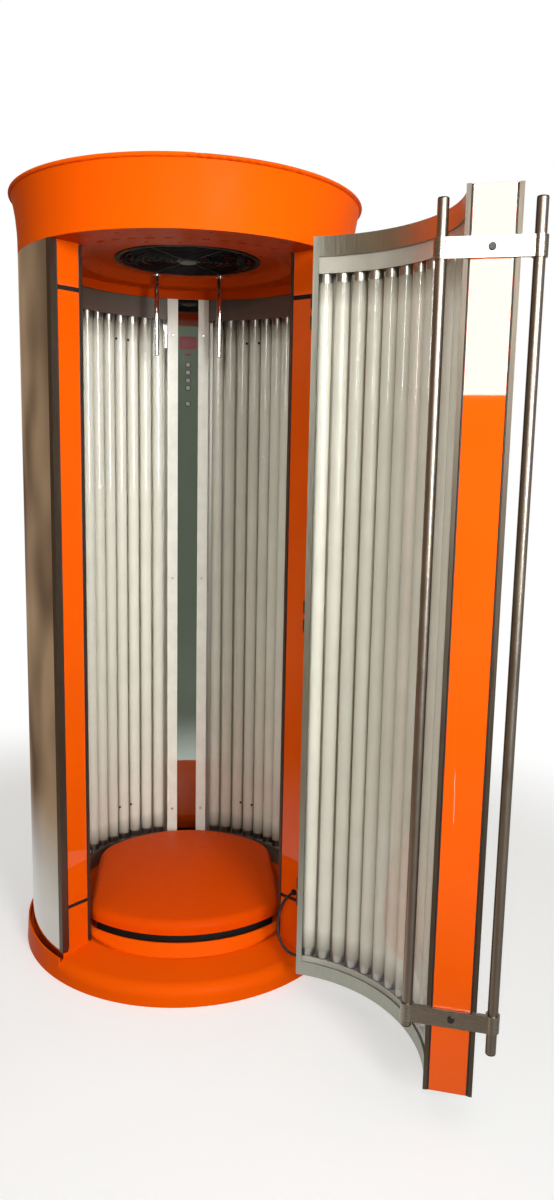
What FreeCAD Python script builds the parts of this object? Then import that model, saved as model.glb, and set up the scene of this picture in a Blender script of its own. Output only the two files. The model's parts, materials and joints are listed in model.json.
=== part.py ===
"""Vertical tanning booth: a round stand-up cabin with one curved door, shown open.

Millimetres, +Z up. The origin is on the booth's upright axis at the floor, and the doorway faces -Y.
Angles are in degrees about that axis, anticlockwise from +X seen from above.
Places on a flat radial edge, such as a door jamb, are given as u, out from the axis along the edge,
and t, square to the edge and into the wall or door that it closes.
"""

import FreeCAD, Part
import math
import os

os.makedirs("parts", exist_ok=True)
Vec = FreeCAD.Vector
NODES = {}

# ---- Driving dimensions -------------------------------------------------------------------------

CLEAR = 0.3  # assembly clearance between neighbouring pieces
CUT = 1.0  # how far a cutting tool runs past a face

# Plan of the wall
SKIN_R = 490.0  # outer face of the mirror skin
SKIN_T = 1.5
WALL_DEPTH = 100.0  # from the skin's outer face to the cabin face of the acrylic shields
SHIELD_T = 3.0
REFLECTOR_T = 1.0
DOORWAY_HALF = 46.5
SKIN_JOINT_ANGLE = 50.0  # from the back of the booth to each skin joint

# Heights
DECK_Z = 45.0
DECK_T = 5.0
CABIN_FLOOR_Z = 76.0
CANOPY_H = 172.0
SKIN_LIFT = 13.0  # skin's lower edge above the deck

# Base tray
GROOVE_W = 10.0  # open groove between the skin and the tray's lip
TRAY_LIP_H = 21.0
TRAY_SPLAY = 4.0  # how far the foot stands out beyond the lip
TRAY_T = 5.0
APRON_EDGE_Z = 62.0
APRON_ROUND = 34.0  # radius of the apron's rounded edge
BASE_PLATE_T = 3.0
BASE_BEAM_W = 60.0
BASE_BEAM_GAP = 240.0
BASE_RIM_W = 10.0
BASE_RIM_IN = 30.0  # rim's outer face inside the skin

# Standing platform, plinth and the tray's riser below it
PLATFORM_SIDE_GAP = 98.0  # from the platform to the cabin wall at each side, in front and behind
PLATFORM_FRONT_GAP = 40.0
PLATFORM_BACK_GAP = 58.0
PLATFORM_FRONT_FLATTER = 15.0  # how much the front arc's radius is more than the cabin's
PLATFORM_BACK_TIGHTER = 40.0  # how much the back arc's radius is less than the cabin's
PLATFORM_FRONT_CORNER_R = 72.0
PLATFORM_BACK_CORNER_R = 140.0
PLATFORM_Z = 128.0
PLATFORM_CROWN_H = 70.0
PLATFORM_CROWN_R = 1900.0
PLATFORM_EDGE_ROUND = 26.0
PLATFORM_T = 6.0
AIR_SLOT_H = 20.0
RISER_FOOT_OUT = 34.0
RISER_TOP_OUT = 8.0
RISER_T = 5.0
DOOR_RUN_CLEAR = 3.0  # between the closed door and what stands in the cabin
PLINTH_INSET = 20.0
PLINTH_T = 12.0

# Wall frame
FRAME_TUBE = 28.0
FRAME_TUBE_WALL = 2.0
FRAME_TUBE_IN = 6.5  # outer face of the tubes inside the skin
FRAME_RING_T = 6.0
FRAME_RING_LAP = 0.5  # rings reach in past the tubes
FRAME_ANGLES = (-12.0, 30.0, 68.0, 112.0, 150.0, 192.0)

# Jambs
JAMB_COVER_T = 3.0
JAMB_COVER_RETURN = 12.0
JAMB_COVER_GAP = 3.3  # between the shield and the cover's inner edge
JAMB_LOWER_SEAM_UP = 167.0  # seam above the deck
JAMB_UPPER_SEAM_DOWN = 120.0  # seam below the ceiling
JAMB_SEAM = 12.0
POST_DEPTH = 19.0
POST_WALL = 2.5
TRIM_T = 2.0
TRIM_OUTER_W = 20.0
TRIM_WRAP = 14.0
TRIM_INNER_W = 8.0
JOINT_STRIP_W = 22.0
JOINT_STRIP_T = 1.5

# Lamps
LAMP_FRONT_GAP = 5.0
LAMP_BACK_GAP = 2.3
LAMP_R = 19.0
LAMP_LENGTH = 1850.0
LAMP_WALL = 0.9
LAMP_CAP_H = 22.0
LAMP_PITCH = 45.5
LAMP_COLUMN_GAP = 15.4  # between the column and the lamp beside it
LAMP_END_GAP = 1.0  # least gap between an end lamp and the post or plate beside it
WALL_TOP_SPACE = 59.4  # above the upper lampholders
PIN_R = 1.2
PIN_LENGTH = 7.0
PIN_SPACING = 12.7
HOLDER_W = 24.0
HOLDER_DEPTH = 22.0
HOLDER_H = 34.0
SHELF_Z = 100.0
RAIL_T = 2.0
SHELF_T = 3.0
SKIRT_H = 35.0  # height of the dark skirting above the lamp shelf
SKIRT_LEDGE_IN = 4.5

# Control column
COLUMN_HALF_W = 70.0
FASCIA_HALF_W = 34.5
COLUMN_PROUD = 11.0  # column's front inside the shields' cabin face
COLUMN_DEPTH = 16.0
FASCIA_SET_BACK = 5.0
FASCIA_T = 3.0
SPINE_HALF_W = 62.0
SPINE_DEPTH = 54.0
SPINE_T = 2.5
COLUMN_BOTTOM_Z = 135.0
DISPLAY_W = 58.0
DISPLAY_H = 42.0
DISPLAY_DOWN = 171.0  # middle of the display below the ceiling
SENSOR_W = 24.0
SENSOR_H = 7.0
SENSOR_DROP = 39.0  # below the middle of the display
WINDOW_PROUD = 0.4
BUTTON_R = 7.0
BUTTON_TRAVEL = 1.2
BUTTON_PROUD = 1.6
BUTTON_FLANGE_W = 1.5
BUTTON_FLANGE_T = 0.8
BUTTON_DROP = 73.0
BUTTON_PITCH = 26.0
BUTTON_LAST_DROP = 54.0
BUTTON_COUNT = 5
BOARD_W = 60.0
BOARD_T = 1.6
BOARD_MARGIN = 24.0
BOARD_GAP = 2.6
STANDOFF_R = 2.2
SCREW_X = 52.0
SCREW_END_GAP = 95.0  # from the column's ends to the end screws
SCREW_TOP_EXTRA = 22.7
SCREW_MIDDLE_UP = 12.0  # middle screws above the middle of the end ones
SCREW_HEAD_R = 5.0
SCREW_HEAD_H = 2.5
SCREW_SHANK_R = 2.0
SCREW_LENGTH = 12.0

# Ceiling, fan and grips
CEILING_T = 4.0
CEILING_EDGE_GAP = 0.5  # between the ceiling's edge and the canopy's inner face
RECESS_SLOPE_W = 38.0
RECESS_BALLAST_GAP = 35.0  # between the recess's edge and the ballasts above the ceiling
RECESS_H = 22.0
FAN_HOLE_R = 206.0
CEILING_SKIRT_IN = 6.0  # skirt's outer face inside the shields' cabin face
CEILING_SKIRT_H = 28.0
CEILING_SKIRT_END = 1.2  # degrees between the skirt's end and the jamb
SLOT_COUNT = 11
SLOT_CIRCLE_IN = 4.0
SLOT_PITCH = 49.0
SLOT_W = 24.0
SLOT_DEPTH = 11.0
GUARD_FLANGE = 10.0
GUARD_T = 3.0
GUARD_RING_PITCH = 17.0
GUARD_WIRE_W = 2.4
GUARD_HUB_R = 38.0
GUARD_SPOKES = 6
GUARD_SPOKE_W = 5.0
IMPELLER_R = 192.0
IMPELLER_LIFT = 14.0  # blades above the guard
IMPELLER_H = 34.0
HUB_R = 46.0
BLADE_COUNT = 7
BLADE_T = 2.5
BLADE_CHORD = 88.0
BLADE_PITCH_ANGLE = 22.0
SHAFT_R = 6.0
SHAFT_CLEAR = 0.05
SHAFT_REACH = 40.0
MOTOR_R = 44.0
MOTOR_H = 58.0
MOTOR_LIFT = 8.0  # bracket above the impeller
BRACKET_T = 4.0
BRACKET_W = 26.0
BRACKET_FOOT_R = 240.0
BRACKET_ARMS = 4
GRIP_X = 102.0
GRIP_EDGE_GAP = 1.5  # between the grips' rosettes and the recess's slope
GRIP_R = 9.0
GRIP_LENGTH = 255.0
GRIP_ROSETTE_R = 16.0
GRIP_ROSETTE_T = 5.0

# Canopy
CANOPY_T = 4.0
CANOPY_STRAIGHT_H = 28.0
CANOPY_FLARE_OUT = 17.0
CANOPY_BEAD_R = 6.0
CANOPY_FLANGE_W = 46.0
CANOPY_FLANGE_T = 3.0
LID_DROP = 26.0
LID_T = 3.0
LID_LEDGE_W = 12.0
LID_SLOTS = 20
LID_SLOT_IN_R = 120.0
LID_SLOT_LENGTH = 190.0
LID_SLOT_W = 9.0
BALLAST_PITCH = 143.0
BALLAST_IN = 118.0  # middle of the ballasts inside the skin
BALLAST_LENGTH = 128.0
BALLAST_W = 58.0
BALLAST_H = 46.0
BOX_LENGTH = 190.0
BOX_DEPTH = 90.0
BOX_H = 60.0
BOX_GAP = 10.0  # between the box and the canopy's flange
GLAND_BORE_R = 8.0
GLAND_BODY_R = 14.0
GLAND_HEX_R = 19.0
GLAND_HEX_T = 6.0
GLAND_NOSE = 15.0
GLAND_RISE = 60.0  # gland's axis above the canopy's lower edge

# Door, in its closed place
DOOR_HINGE_GAP = 8.8  # between the door and the jamb on the hinge side, at the cabin face
DOOR_FREE_GAP = 13.6  # the same on the handle side, where the straps go through
DOOR_INWARD = 1.0  # door's inner face inside the shields' cabin face
DOOR_PROUD = 7.0  # door's skin outside the wall's skin
DOOR_FLOOR_GAP = 4.0
DOOR_CEILING_GAP = 6.0
DOOR_PLATE_T = 3.0
DOOR_TOP_RAIL_H = 48.0
DOOR_BOTTOM_RAIL_H = 40.0
HINGE_STILE_W = 15.0
LATCH_STILE_W = 34.0
END_COVER_T = 3.0
DOOR_REST_ANGLE = 116.0  # how far the door stands open

# Hinges
HINGE_OUT = 21.0  # pin axis outside the door's skin
HINGE_BEHIND = 7.2  # pin axis behind the door's end face
HINGE_LOW_GAP = 165.0  # from the door's ends to its end hinges
HINGE_HIGH_GAP = 157.0
KNUCKLE_R = 8.0
BODY_KNUCKLE_H = 36.0
DOOR_KNUCKLE_H = 16.0
KNUCKLE_GAP = 0.6
HINGE_PIN_R = 4.0
HINGE_PIN_CLEAR = 0.05
HINGE_PIN_HEAD_R = 6.0
HINGE_PIN_HEAD_H = 3.0
LEAF_T = 3.5
LEAF_W = 48.0
HINGE_ARM_W = 7.0

# Handles on the door's free end
HANDLE_TUBE_R = 12.0
HANDLE_TUBE_WALL = 1.5
HANDLE_INNER_OFF = 47.0  # from the door's cabin face to the middle of the inner tube
HANDLE_INNER_FOOT = 155.0  # above the door's lower edge
HANDLE_INNER_TOP = 26.0  # below its upper edge
HANDLE_OUTER_OFF = 38.0
HANDLE_OUTER_FOOT = 115.0
HANDLE_OUTER_TOP = 31.0
HANDLE_T = 6.0
STRAP_T = 5.0
STRAP_H = 42.0
STRAP_OVERHANG = 4.0
STRAP_LOW_GAP = 189.0  # from the door's ends to the middle of each strap
STRAP_HIGH_GAP = 122.0
CLAMP_WALL = 4.0
CLAMP_CLEAR = 0.05
BOLT_R = 4.0
BOLT_HEAD_R = 8.0
BOLT_HEAD_H = 4.0
BOLT_CLEAR = 0.2

# Lead between body and door
LEAD_R = 4.0
LEAD_GLAND_R = 9.0
LEAD_GLAND_H = 6.0
LEAD_GLAND_IN = 40.0  # glands inside the skin
LEAD_BODY_Z = 236.0
LEAD_DOOR_Z = 100.0

# ---- Worked-out places --------------------------------------------------------------------------

SHIELD_R = SKIN_R - WALL_DEPTH
LAMP_CIRCLE_R = SHIELD_R + SHIELD_T + LAMP_FRONT_GAP + LAMP_R
REFLECTOR_R = LAMP_CIRCLE_R + LAMP_R + LAMP_BACK_GAP
RAIL_OUT_R = REFLECTOR_R - 2 * CLEAR
FRAME_TUBE_OUT_R = SKIN_R - SKIN_T - FRAME_TUBE_IN
JAMB_COVER_IN_R = SHIELD_R + SHIELD_T + JAMB_COVER_GAP
COVER_OUT_R = SKIN_R - CLEAR
TRAY_LIP_R = SKIN_R + GROOVE_W + TRAY_T
TRAY_FOOT_R = TRAY_LIP_R + TRAY_SPLAY
RIGHT_JAMB = -90.0 + DOORWAY_HALF
LEFT_JAMB = 270.0 - DOORWAY_HALF

HOLDER_TOP_Z = SHELF_Z + HOLDER_H
LAMP_Z = HOLDER_TOP_Z + CLEAR
LAMP_TOP_Z = LAMP_Z + LAMP_LENGTH
UPPER_HOLDER_Z = LAMP_TOP_Z + CLEAR
UPPER_SHELF_Z = UPPER_HOLDER_Z + HOLDER_H
CEILING_Z = UPPER_SHELF_Z + WALL_TOP_SPACE
RECESS_Z = CEILING_Z + RECESS_H
TOP_Z = CEILING_Z + CANOPY_H
JAMB_LOWER_SEAM_Z = DECK_Z + JAMB_LOWER_SEAM_UP
JAMB_UPPER_SEAM_Z = CEILING_Z - JAMB_UPPER_SEAM_DOWN

PLATFORM_HALF_W = SHIELD_R - PLATFORM_SIDE_GAP
PLATFORM_FRONT_R = SHIELD_R + PLATFORM_FRONT_FLATTER
PLATFORM_FRONT_CENTRE_Y = PLATFORM_FRONT_FLATTER + PLATFORM_FRONT_GAP
PLATFORM_BACK_R = SHIELD_R - PLATFORM_BACK_TIGHTER
PLATFORM_BACK_CENTRE_Y = PLATFORM_BACK_TIGHTER - PLATFORM_BACK_GAP

COLUMN_FRONT_Y = SHIELD_R - COLUMN_PROUD
COLUMN_TOP_Z = CEILING_Z - CEILING_SKIRT_H - CLEAR
FASCIA_Y = COLUMN_FRONT_Y + FASCIA_SET_BACK
DISPLAY_Z = CEILING_Z - DISPLAY_DOWN
SENSOR_Z = DISPLAY_Z - SENSOR_DROP
LOW_SCREW_Z = COLUMN_BOTTOM_Z + SCREW_END_GAP
HIGH_SCREW_Z = COLUMN_TOP_Z - SCREW_END_GAP - SCREW_TOP_EXTRA
MIDDLE_SCREW_Z = (LOW_SCREW_Z + HIGH_SCREW_Z) / 2 + SCREW_MIDDLE_UP
SCREW_HEIGHTS = (LOW_SCREW_Z, MIDDLE_SCREW_Z, HIGH_SCREW_Z)

CEILING_R = SKIN_R - CANOPY_T - CEILING_EDGE_GAP
CEILING_SKIRT_R = SHIELD_R - CEILING_SKIRT_IN
SLOT_CIRCLE_R = SHIELD_R - SLOT_CIRCLE_IN
BALLAST_R = SKIN_R - BALLAST_IN
RECESS_EDGE_R = BALLAST_R - BALLAST_W / 2 - RECESS_BALLAST_GAP
RECESS_R = RECESS_EDGE_R - RECESS_SLOPE_W
GRIP_Y = math.sqrt((RECESS_R - GRIP_EDGE_GAP - GRIP_ROSETTE_R) ** 2 - GRIP_X**2)

DOOR_IN_R = SHIELD_R - DOOR_INWARD
DOOR_OUT_R = SKIN_R + DOOR_PROUD
DOOR_Z = CABIN_FLOOR_Z + DOOR_FLOOR_GAP
DOOR_TOP_Z = CEILING_Z - DOOR_CEILING_GAP
DOOR_RIGHT = RIGHT_JAMB - math.degrees(DOOR_HINGE_GAP / DOOR_IN_R)
DOOR_LEFT = LEFT_JAMB - 360.0 + math.degrees(DOOR_FREE_GAP / DOOR_IN_R)
RISER_LIMIT_R = DOOR_IN_R - CLEAR - TRIM_T - DOOR_RUN_CLEAR
HINGE_R = DOOR_OUT_R + HINGE_OUT
HINGE_ANGLE = DOOR_RIGHT - math.degrees(HINGE_BEHIND / HINGE_R)
LOW_HINGE_Z = DOOR_Z + HINGE_LOW_GAP
HIGH_HINGE_Z = DOOR_TOP_Z - HINGE_HIGH_GAP
HINGE_HEIGHTS = (LOW_HINGE_Z, (LOW_HINGE_Z + HIGH_HINGE_Z) / 2, HIGH_HINGE_Z)
LEAF_IN_R = HINGE_R - KNUCKLE_R - LEAF_W
HANDLE_INNER_R = DOOR_IN_R - HANDLE_INNER_OFF
HANDLE_OUTER_R = DOOR_OUT_R + HANDLE_OUTER_OFF
STRAP_HEIGHTS = (DOOR_Z + STRAP_LOW_GAP, DOOR_TOP_Z - STRAP_HIGH_GAP)
LEAD_GLAND_U = SKIN_R - LEAD_GLAND_IN

RIGHT = dict(angle=RIGHT_JAMB, side=1)
LEFT = dict(angle=LEFT_JAMB, side=-1)
DOOR_HINGE_END = dict(angle=DOOR_RIGHT, side=-1)
DOOR_FREE_END = dict(angle=DOOR_LEFT, side=1)


def keep(name, *shapes):
    """Adds a named node made of one solid or a group of separate solids."""
    NODES[name] = shapes[0] if len(shapes) == 1 else Part.makeCompound(list(shapes))


# ---- Shape helpers ------------------------------------------------------------------------------


def polar(radius, angle, z=0.0):
    a = math.radians(angle)
    return Vec(radius * math.cos(a), radius * math.sin(a), z)


def fuse(first, *others):
    return first.multiFuse(list(others)).removeSplitter()


def disc(radius, z0, z1, x=0.0, y=0.0):
    return Part.makeCylinder(radius, z1 - z0, Vec(x, y, z0))


def ring(r_in, r_out, z0, z1):
    hole = disc(r_in, z0 - CUT, z1 + CUT)
    return disc(r_out, z0, z1).cut(hole)


def sector(r_in, r_out, z0, z1, a0, a1):
    """An upright curved slab between two radii and two angles."""
    middle = (a0 + a1) / 2
    outer = Part.Arc(polar(r_out, a0, z0), polar(r_out, middle, z0), polar(r_out, a1, z0))
    inner = Part.Arc(polar(r_in, a1, z0), polar(r_in, middle, z0), polar(r_in, a0, z0))
    edges = [
        outer.toShape(),
        Part.makeLine(polar(r_out, a1, z0), polar(r_in, a1, z0)),
        inner.toShape(),
        Part.makeLine(polar(r_in, a0, z0), polar(r_out, a0, z0)),
    ]
    return Part.Face(Part.Wire(edges)).extrude(Vec(0, 0, z1 - z0))


def turned(corners, a0=0.0, a1=360.0):
    """A polygon of (radius, z) corners turned about the booth's axis from a0 to a1.

    A corner written as ((radius, z), (radius, z)) is an arc through its first point to its second.
    """
    last = corners[0]
    here = Vec(last[0], 0, last[1])
    start = here
    edges = []
    for corner in corners[1:] + corners[:1]:
        if isinstance(corner[0], tuple):
            middle = Vec(corner[0][0], 0, corner[0][1])
            there = Vec(corner[1][0], 0, corner[1][1])
            edges.append(Part.Arc(here, middle, there).toShape())
        else:
            there = Vec(corner[0], 0, corner[1])
            if there.distanceToPoint(here) > 1e-6:
                edges.append(Part.makeLine(here, there))
        here = there
    if here.distanceToPoint(start) > 1e-6:
        edges.append(Part.makeLine(here, start))
    face = Part.Face(Part.Wire(edges))
    face.rotate(Vec(0, 0, 0), Vec(0, 0, 1), a0)
    return face.revolve(Vec(0, 0, 0), Vec(0, 0, 1), a1 - a0)


def edge_point(edge, u, t, z=0.0):
    a = math.radians(edge["angle"])
    s = edge["side"] * t
    return Vec(u * math.cos(a) - s * math.sin(a), u * math.sin(a) + s * math.cos(a), z)


def edge_block(edge, u0, u1, t0, t1, z0, z1):
    """A box in an edge's own u and t."""
    corners = [edge_point(edge, u, t, z0) for u, t in ((u0, t0), (u1, t0), (u1, t1), (u0, t1))]
    return Part.Face(Part.makePolygon(corners + corners[:1])).extrude(Vec(0, 0, z1 - z0))


def box(x0, x1, y0, y1, z0, z1):
    return Part.makeBox(x1 - x0, y1 - y0, z1 - z0, Vec(x0, y0, z0))


def upright(radius, point, height):
    return Part.makeCylinder(radius, height, point)


def angle_for(width, radius):
    """The angle in degrees that a width takes up at a radius."""
    return math.degrees(math.asin(width / radius))


def mirrored(shape):
    return shape.mirror(Vec(0, 0, 0), Vec(1, 0, 0))


# ---- Base ---------------------------------------------------------------------------------------


def platform_outline(grow, z):
    """The platform's plan, grown outwards by grow, as a wire at height z."""
    half = PLATFORM_HALF_W + grow

    def corner(centre_y, radius, round_r, way):
        """Fillet centre, and its tangent points on the side line and on the end arc."""
        x = PLATFORM_HALF_W - round_r
        reach = radius - round_r
        y = centre_y + way * math.sqrt(reach**2 - x**2)
        out = Vec(x, y - centre_y, 0)
        out.normalize()
        on_arc = Vec(0, centre_y, 0) + out * (radius + grow)
        return Vec(x, y, 0), Vec(half, y, 0), on_arc

    def fillet_middle(centre, a, b, radius):
        way = (a - centre) + (b - centre)
        way.normalize()
        return centre + way * radius

    front_r = PLATFORM_FRONT_CORNER_R
    back_r = PLATFORM_BACK_CORNER_R
    fc, fa, fb = corner(PLATFORM_FRONT_CENTRE_Y, PLATFORM_FRONT_R, front_r, -1)
    bc, ba, bb = corner(PLATFORM_BACK_CENTRE_Y, PLATFORM_BACK_R, back_r, 1)
    fm = fillet_middle(fc, fa, fb, front_r + grow)
    bm = fillet_middle(bc, ba, bb, back_r + grow)
    front = Vec(0, PLATFORM_FRONT_CENTRE_Y - PLATFORM_FRONT_R - grow, 0)
    back = Vec(0, PLATFORM_BACK_CENTRE_Y + PLATFORM_BACK_R + grow, 0)

    def other(p):
        return Vec(-p.x, p.y, 0)

    edges = [
        Part.Arc(other(fb), front, fb).toShape(),
        Part.Arc(fb, fm, fa).toShape(),
        Part.makeLine(fa, ba),
        Part.Arc(ba, bm, bb).toShape(),
        Part.Arc(bb, back, other(bb)).toShape(),
        Part.Arc(other(bb), other(bm), other(ba)).toShape(),
        Part.makeLine(other(ba), other(fa)),
        Part.Arc(other(fa), other(fm), other(fb)).toShape(),
    ]
    wire = Part.Wire(edges)
    wire.translate(Vec(0, 0, z))
    return wire


def platform_prism(grow, z0, z1):
    return Part.Face(platform_outline(grow, z0)).extrude(Vec(0, 0, z1 - z0))


def base_tray():
    """The orange moulding: rim and deck under the wall, sloping apron in the doorway, cabin floor."""
    lip_z = DECK_Z + TRAY_LIP_H
    floor_r = SHIELD_R + 4.0
    wall = turned(
        [
            (TRAY_FOOT_R, 0),
            (TRAY_LIP_R, lip_z),
            (TRAY_LIP_R - TRAY_T, lip_z),
            (TRAY_LIP_R - TRAY_T, DECK_Z),
            (floor_r, DECK_Z),
            (floor_r, CABIN_FLOOR_Z),
            (floor_r - TRAY_T, CABIN_FLOOR_Z),
            (floor_r - TRAY_T, DECK_Z - DECK_T),
            (TRAY_LIP_R - TRAY_T, DECK_Z - DECK_T),
            (TRAY_FOOT_R - TRAY_T, 0),
        ],
        RIGHT_JAMB,
        LEFT_JAMB,
    )
    floor_in = floor_r - TRAY_T

    def apron_block(depth, z0, a0, a1):
        """What lies under the apron's surface lowered by depth, down to z0."""
        lean = math.radians(45)
        edge_r = TRAY_FOOT_R - APRON_ROUND
        edge_z = APRON_EDGE_Z - APRON_ROUND
        radius = APRON_ROUND - depth
        middle = (edge_r + radius * math.sin(lean), edge_z + radius * math.cos(lean))
        return turned(
            [
                (TRAY_FOOT_R - depth, z0),
                (TRAY_FOOT_R - depth, edge_z),
                (middle, (edge_r, edge_z + radius)),
                (floor_in - CUT, CABIN_FLOOR_Z - depth),
                (floor_in - CUT, z0),
            ],
            a0,
            a1,
        )

    front_start = LEFT_JAMB - 360.0
    apron = apron_block(0, 0, front_start, RIGHT_JAMB)
    apron = apron.cut(apron_block(TRAY_T, -CUT, front_start - 1, RIGHT_JAMB + 1))
    end = angle_for(TRAY_T, SKIN_R)
    below = disc(TRAY_FOOT_R + CUT, -CUT, DECK_Z - DECK_T)
    end_walls = [
        apron_block(TRAY_T / 2, 0, front_start, front_start + end).cut(below),
        apron_block(TRAY_T / 2, 0, RIGHT_JAMB - end, RIGHT_JAMB).cut(below),
    ]
    floor = disc(floor_r - TRAY_T / 2, CABIN_FLOOR_Z - TRAY_T, CABIN_FLOOR_Z)
    slot_z = PLATFORM_Z - AIR_SLOT_H
    foot_z = CABIN_FLOOR_Z - TRAY_T / 2
    riser = Part.makeLoft(
        [platform_outline(RISER_FOOT_OUT, foot_z), platform_outline(RISER_TOP_OUT, slot_z)], True, True
    )
    hollow = Part.makeLoft(
        [
            platform_outline(RISER_FOOT_OUT - RISER_T, foot_z - CUT),
            platform_outline(RISER_TOP_OUT - RISER_T, slot_z + CUT),
        ],
        True,
        True,
    )
    limit = disc(RISER_LIMIT_R, foot_z - CUT, slot_z + CUT)
    riser = riser.cut(hollow).common(limit)
    return fuse(wall, apron, end_walls[0], end_walls[1], floor, riser)


def base_frame():
    """A steel plate on the floor with two crossed pairs of beams that carry the tray's deck."""
    plate_r = TRAY_FOOT_R - TRAY_T - 2 * CLEAR
    top = DECK_Z - DECK_T - CLEAR
    reach = SHIELD_R - 2 * TRAY_T
    beams = []
    for way in (-1, 1):
        near = way * BASE_BEAM_GAP / 2
        lo = near - BASE_BEAM_W / 2
        hi = near + BASE_BEAM_W / 2
        beams.append(box(-reach, reach, lo, hi, 0, top))
        beams.append(box(lo, hi, -reach, reach, 0, top))
    rim_r = SKIN_R - BASE_RIM_IN
    rim = ring(rim_r - BASE_RIM_W, rim_r, 0, top)
    frame = fuse(disc(plate_r, 0, BASE_PLATE_T), rim, *beams)
    inner = []
    for way in (-1, 1):
        near = way * BASE_BEAM_GAP / 2
        lo = near - BASE_BEAM_W / 2 + BASE_PLATE_T
        hi = near + BASE_BEAM_W / 2 - BASE_PLATE_T
        low = BASE_PLATE_T
        high = top - BASE_PLATE_T
        inner.append(box(-reach - CUT, reach + CUT, lo, hi, low, high))
        inner.append(box(lo, hi, -reach - CUT, reach + CUT, low, high))
    return frame.cut(inner[0].multiFuse(inner[1:]))


def platform_plinth():
    outer = platform_prism(-PLINTH_INSET, CABIN_FLOOR_Z, PLATFORM_Z)
    return outer.cut(platform_prism(-PLINTH_INSET - PLINTH_T, CABIN_FLOOR_Z - CUT, PLATFORM_Z + CUT))


def platform():
    """A domed moulded shell with a flat rim that lies on the plinth."""

    def crown(lower):
        centre_z = PLATFORM_Z + PLATFORM_CROWN_H - PLATFORM_CROWN_R
        return Part.makeSphere(PLATFORM_CROWN_R - lower, Vec(0, 0, centre_z))

    outer = platform_prism(0, PLATFORM_Z, PLATFORM_Z + PLATFORM_CROWN_H + CUT).common(crown(0))
    top = max(outer.Faces, key=lambda f: f.BoundBox.ZMax)
    outer = outer.makeFillet(PLATFORM_EDGE_ROUND, top.Edges)
    inset = -PLINTH_INSET - PLINTH_T
    inner = platform_prism(inset, PLATFORM_Z - CUT, PLATFORM_Z + PLATFORM_CROWN_H)
    return outer.cut(inner.common(crown(PLATFORM_T)))


# ---- Wall ---------------------------------------------------------------------------------------


def wall_frame():
    """Bottom and top rings of the wall, joined by square tubes: one weldment."""
    ring_in = FRAME_TUBE_OUT_R - FRAME_TUBE
    ring_out = SKIN_R - SKIN_T - CLEAR
    start = RIGHT_JAMB + angle_for(POST_DEPTH + JAMB_COVER_T + 3 * CLEAR, ring_in)
    stop = LEFT_JAMB - (start - RIGHT_JAMB)
    top = CEILING_Z
    lap_r = ring_in - FRAME_RING_LAP
    rings = [
        sector(lap_r, ring_out, DECK_Z, DECK_Z + FRAME_RING_T, start, stop),
        sector(lap_r, ring_out, top - FRAME_RING_T, top, start, stop),
    ]
    tubes = []
    for angle in FRAME_ANGLES:
        edge = dict(angle=angle, side=1)
        low = DECK_Z + FRAME_RING_T / 2
        high = top - FRAME_RING_T / 2
        half = FRAME_TUBE / 2
        inside = half - FRAME_TUBE_WALL
        tube = edge_block(edge, ring_in, FRAME_TUBE_OUT_R, -half, half, low, high)
        bore = edge_block(
            edge,
            ring_in + FRAME_TUBE_WALL,
            FRAME_TUBE_OUT_R - FRAME_TUBE_WALL,
            -inside,
            inside,
            DECK_Z + FRAME_RING_T,
            top - FRAME_RING_T,
        )
        tubes.append(tube.cut(bore))
    return fuse(rings[0], rings[1], *tubes)


def jamb_post(edge):
    """An aluminium box profile behind a jamb's covers."""
    t0 = JAMB_COVER_T + CLEAR
    t1 = t0 + POST_DEPTH
    u0 = JAMB_COVER_IN_R + JAMB_COVER_T + CLEAR
    u1 = COVER_OUT_R - JAMB_COVER_T - CLEAR - SKIN_T
    post = edge_block(edge, u0, u1, t0, t1, DECK_Z, CEILING_Z)
    w = POST_WALL
    return post.cut(edge_block(edge, u0 + w, u1 - w, t0 + w, t1 - w, DECK_Z - CUT, CEILING_Z + CUT))


def jamb_covers(edge):
    """Three lengths of orange cover with returned edges, with a dark seam between them."""
    limits = (
        (DECK_Z, JAMB_LOWER_SEAM_Z - JAMB_SEAM / 2),
        (JAMB_LOWER_SEAM_Z + JAMB_SEAM / 2, JAMB_UPPER_SEAM_Z - JAMB_SEAM / 2),
        (JAMB_UPPER_SEAM_Z + JAMB_SEAM / 2, CEILING_Z - CLEAR),
    )
    u0 = JAMB_COVER_IN_R
    u1 = COVER_OUT_R - SKIN_T
    t1 = JAMB_COVER_T + JAMB_COVER_RETURN
    covers = []
    for low, high in limits:
        face = edge_block(edge, u0, u1, 0, JAMB_COVER_T, low, high)
        inner = edge_block(edge, u0, u0 + JAMB_COVER_T, 0, t1, low, high)
        outer = edge_block(edge, u1 - JAMB_COVER_T, u1, 0, t1, low, high)
        covers.append(fuse(face, inner, outer))
    return covers


def jamb_trims(edge):
    """Aluminium angles on a jamb's outer corner and inner edge."""
    low = CABIN_FLOOR_Z + CLEAR
    high = CEILING_Z - CLEAR
    u1 = SKIN_R + CLEAR + TRIM_T
    on_face = edge_block(edge, u1 - TRIM_OUTER_W, u1, -TRIM_T, 0, low, high)
    wrap = edge_block(edge, u1 - TRIM_T, u1, -TRIM_T, TRIM_WRAP, low, high)
    inner_u = JAMB_COVER_IN_R - CLEAR
    shield = edge_block(edge, inner_u - TRIM_INNER_W, inner_u, 0, TRIM_WRAP, low, high)
    slot = edge_block(
        edge,
        SHIELD_R - CLEAR,
        SHIELD_R + SHIELD_T + CLEAR,
        TRIM_T,
        TRIM_WRAP + CUT,
        low - CUT,
        high + CUT,
    )
    return [fuse(on_face, wrap), shield.cut(slot)]


def skin(a0, a1):
    low = DECK_Z + SKIN_LIFT
    return sector(SKIN_R - SKIN_T, SKIN_R, low, CEILING_Z - CLEAR, a0, a1)


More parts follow.
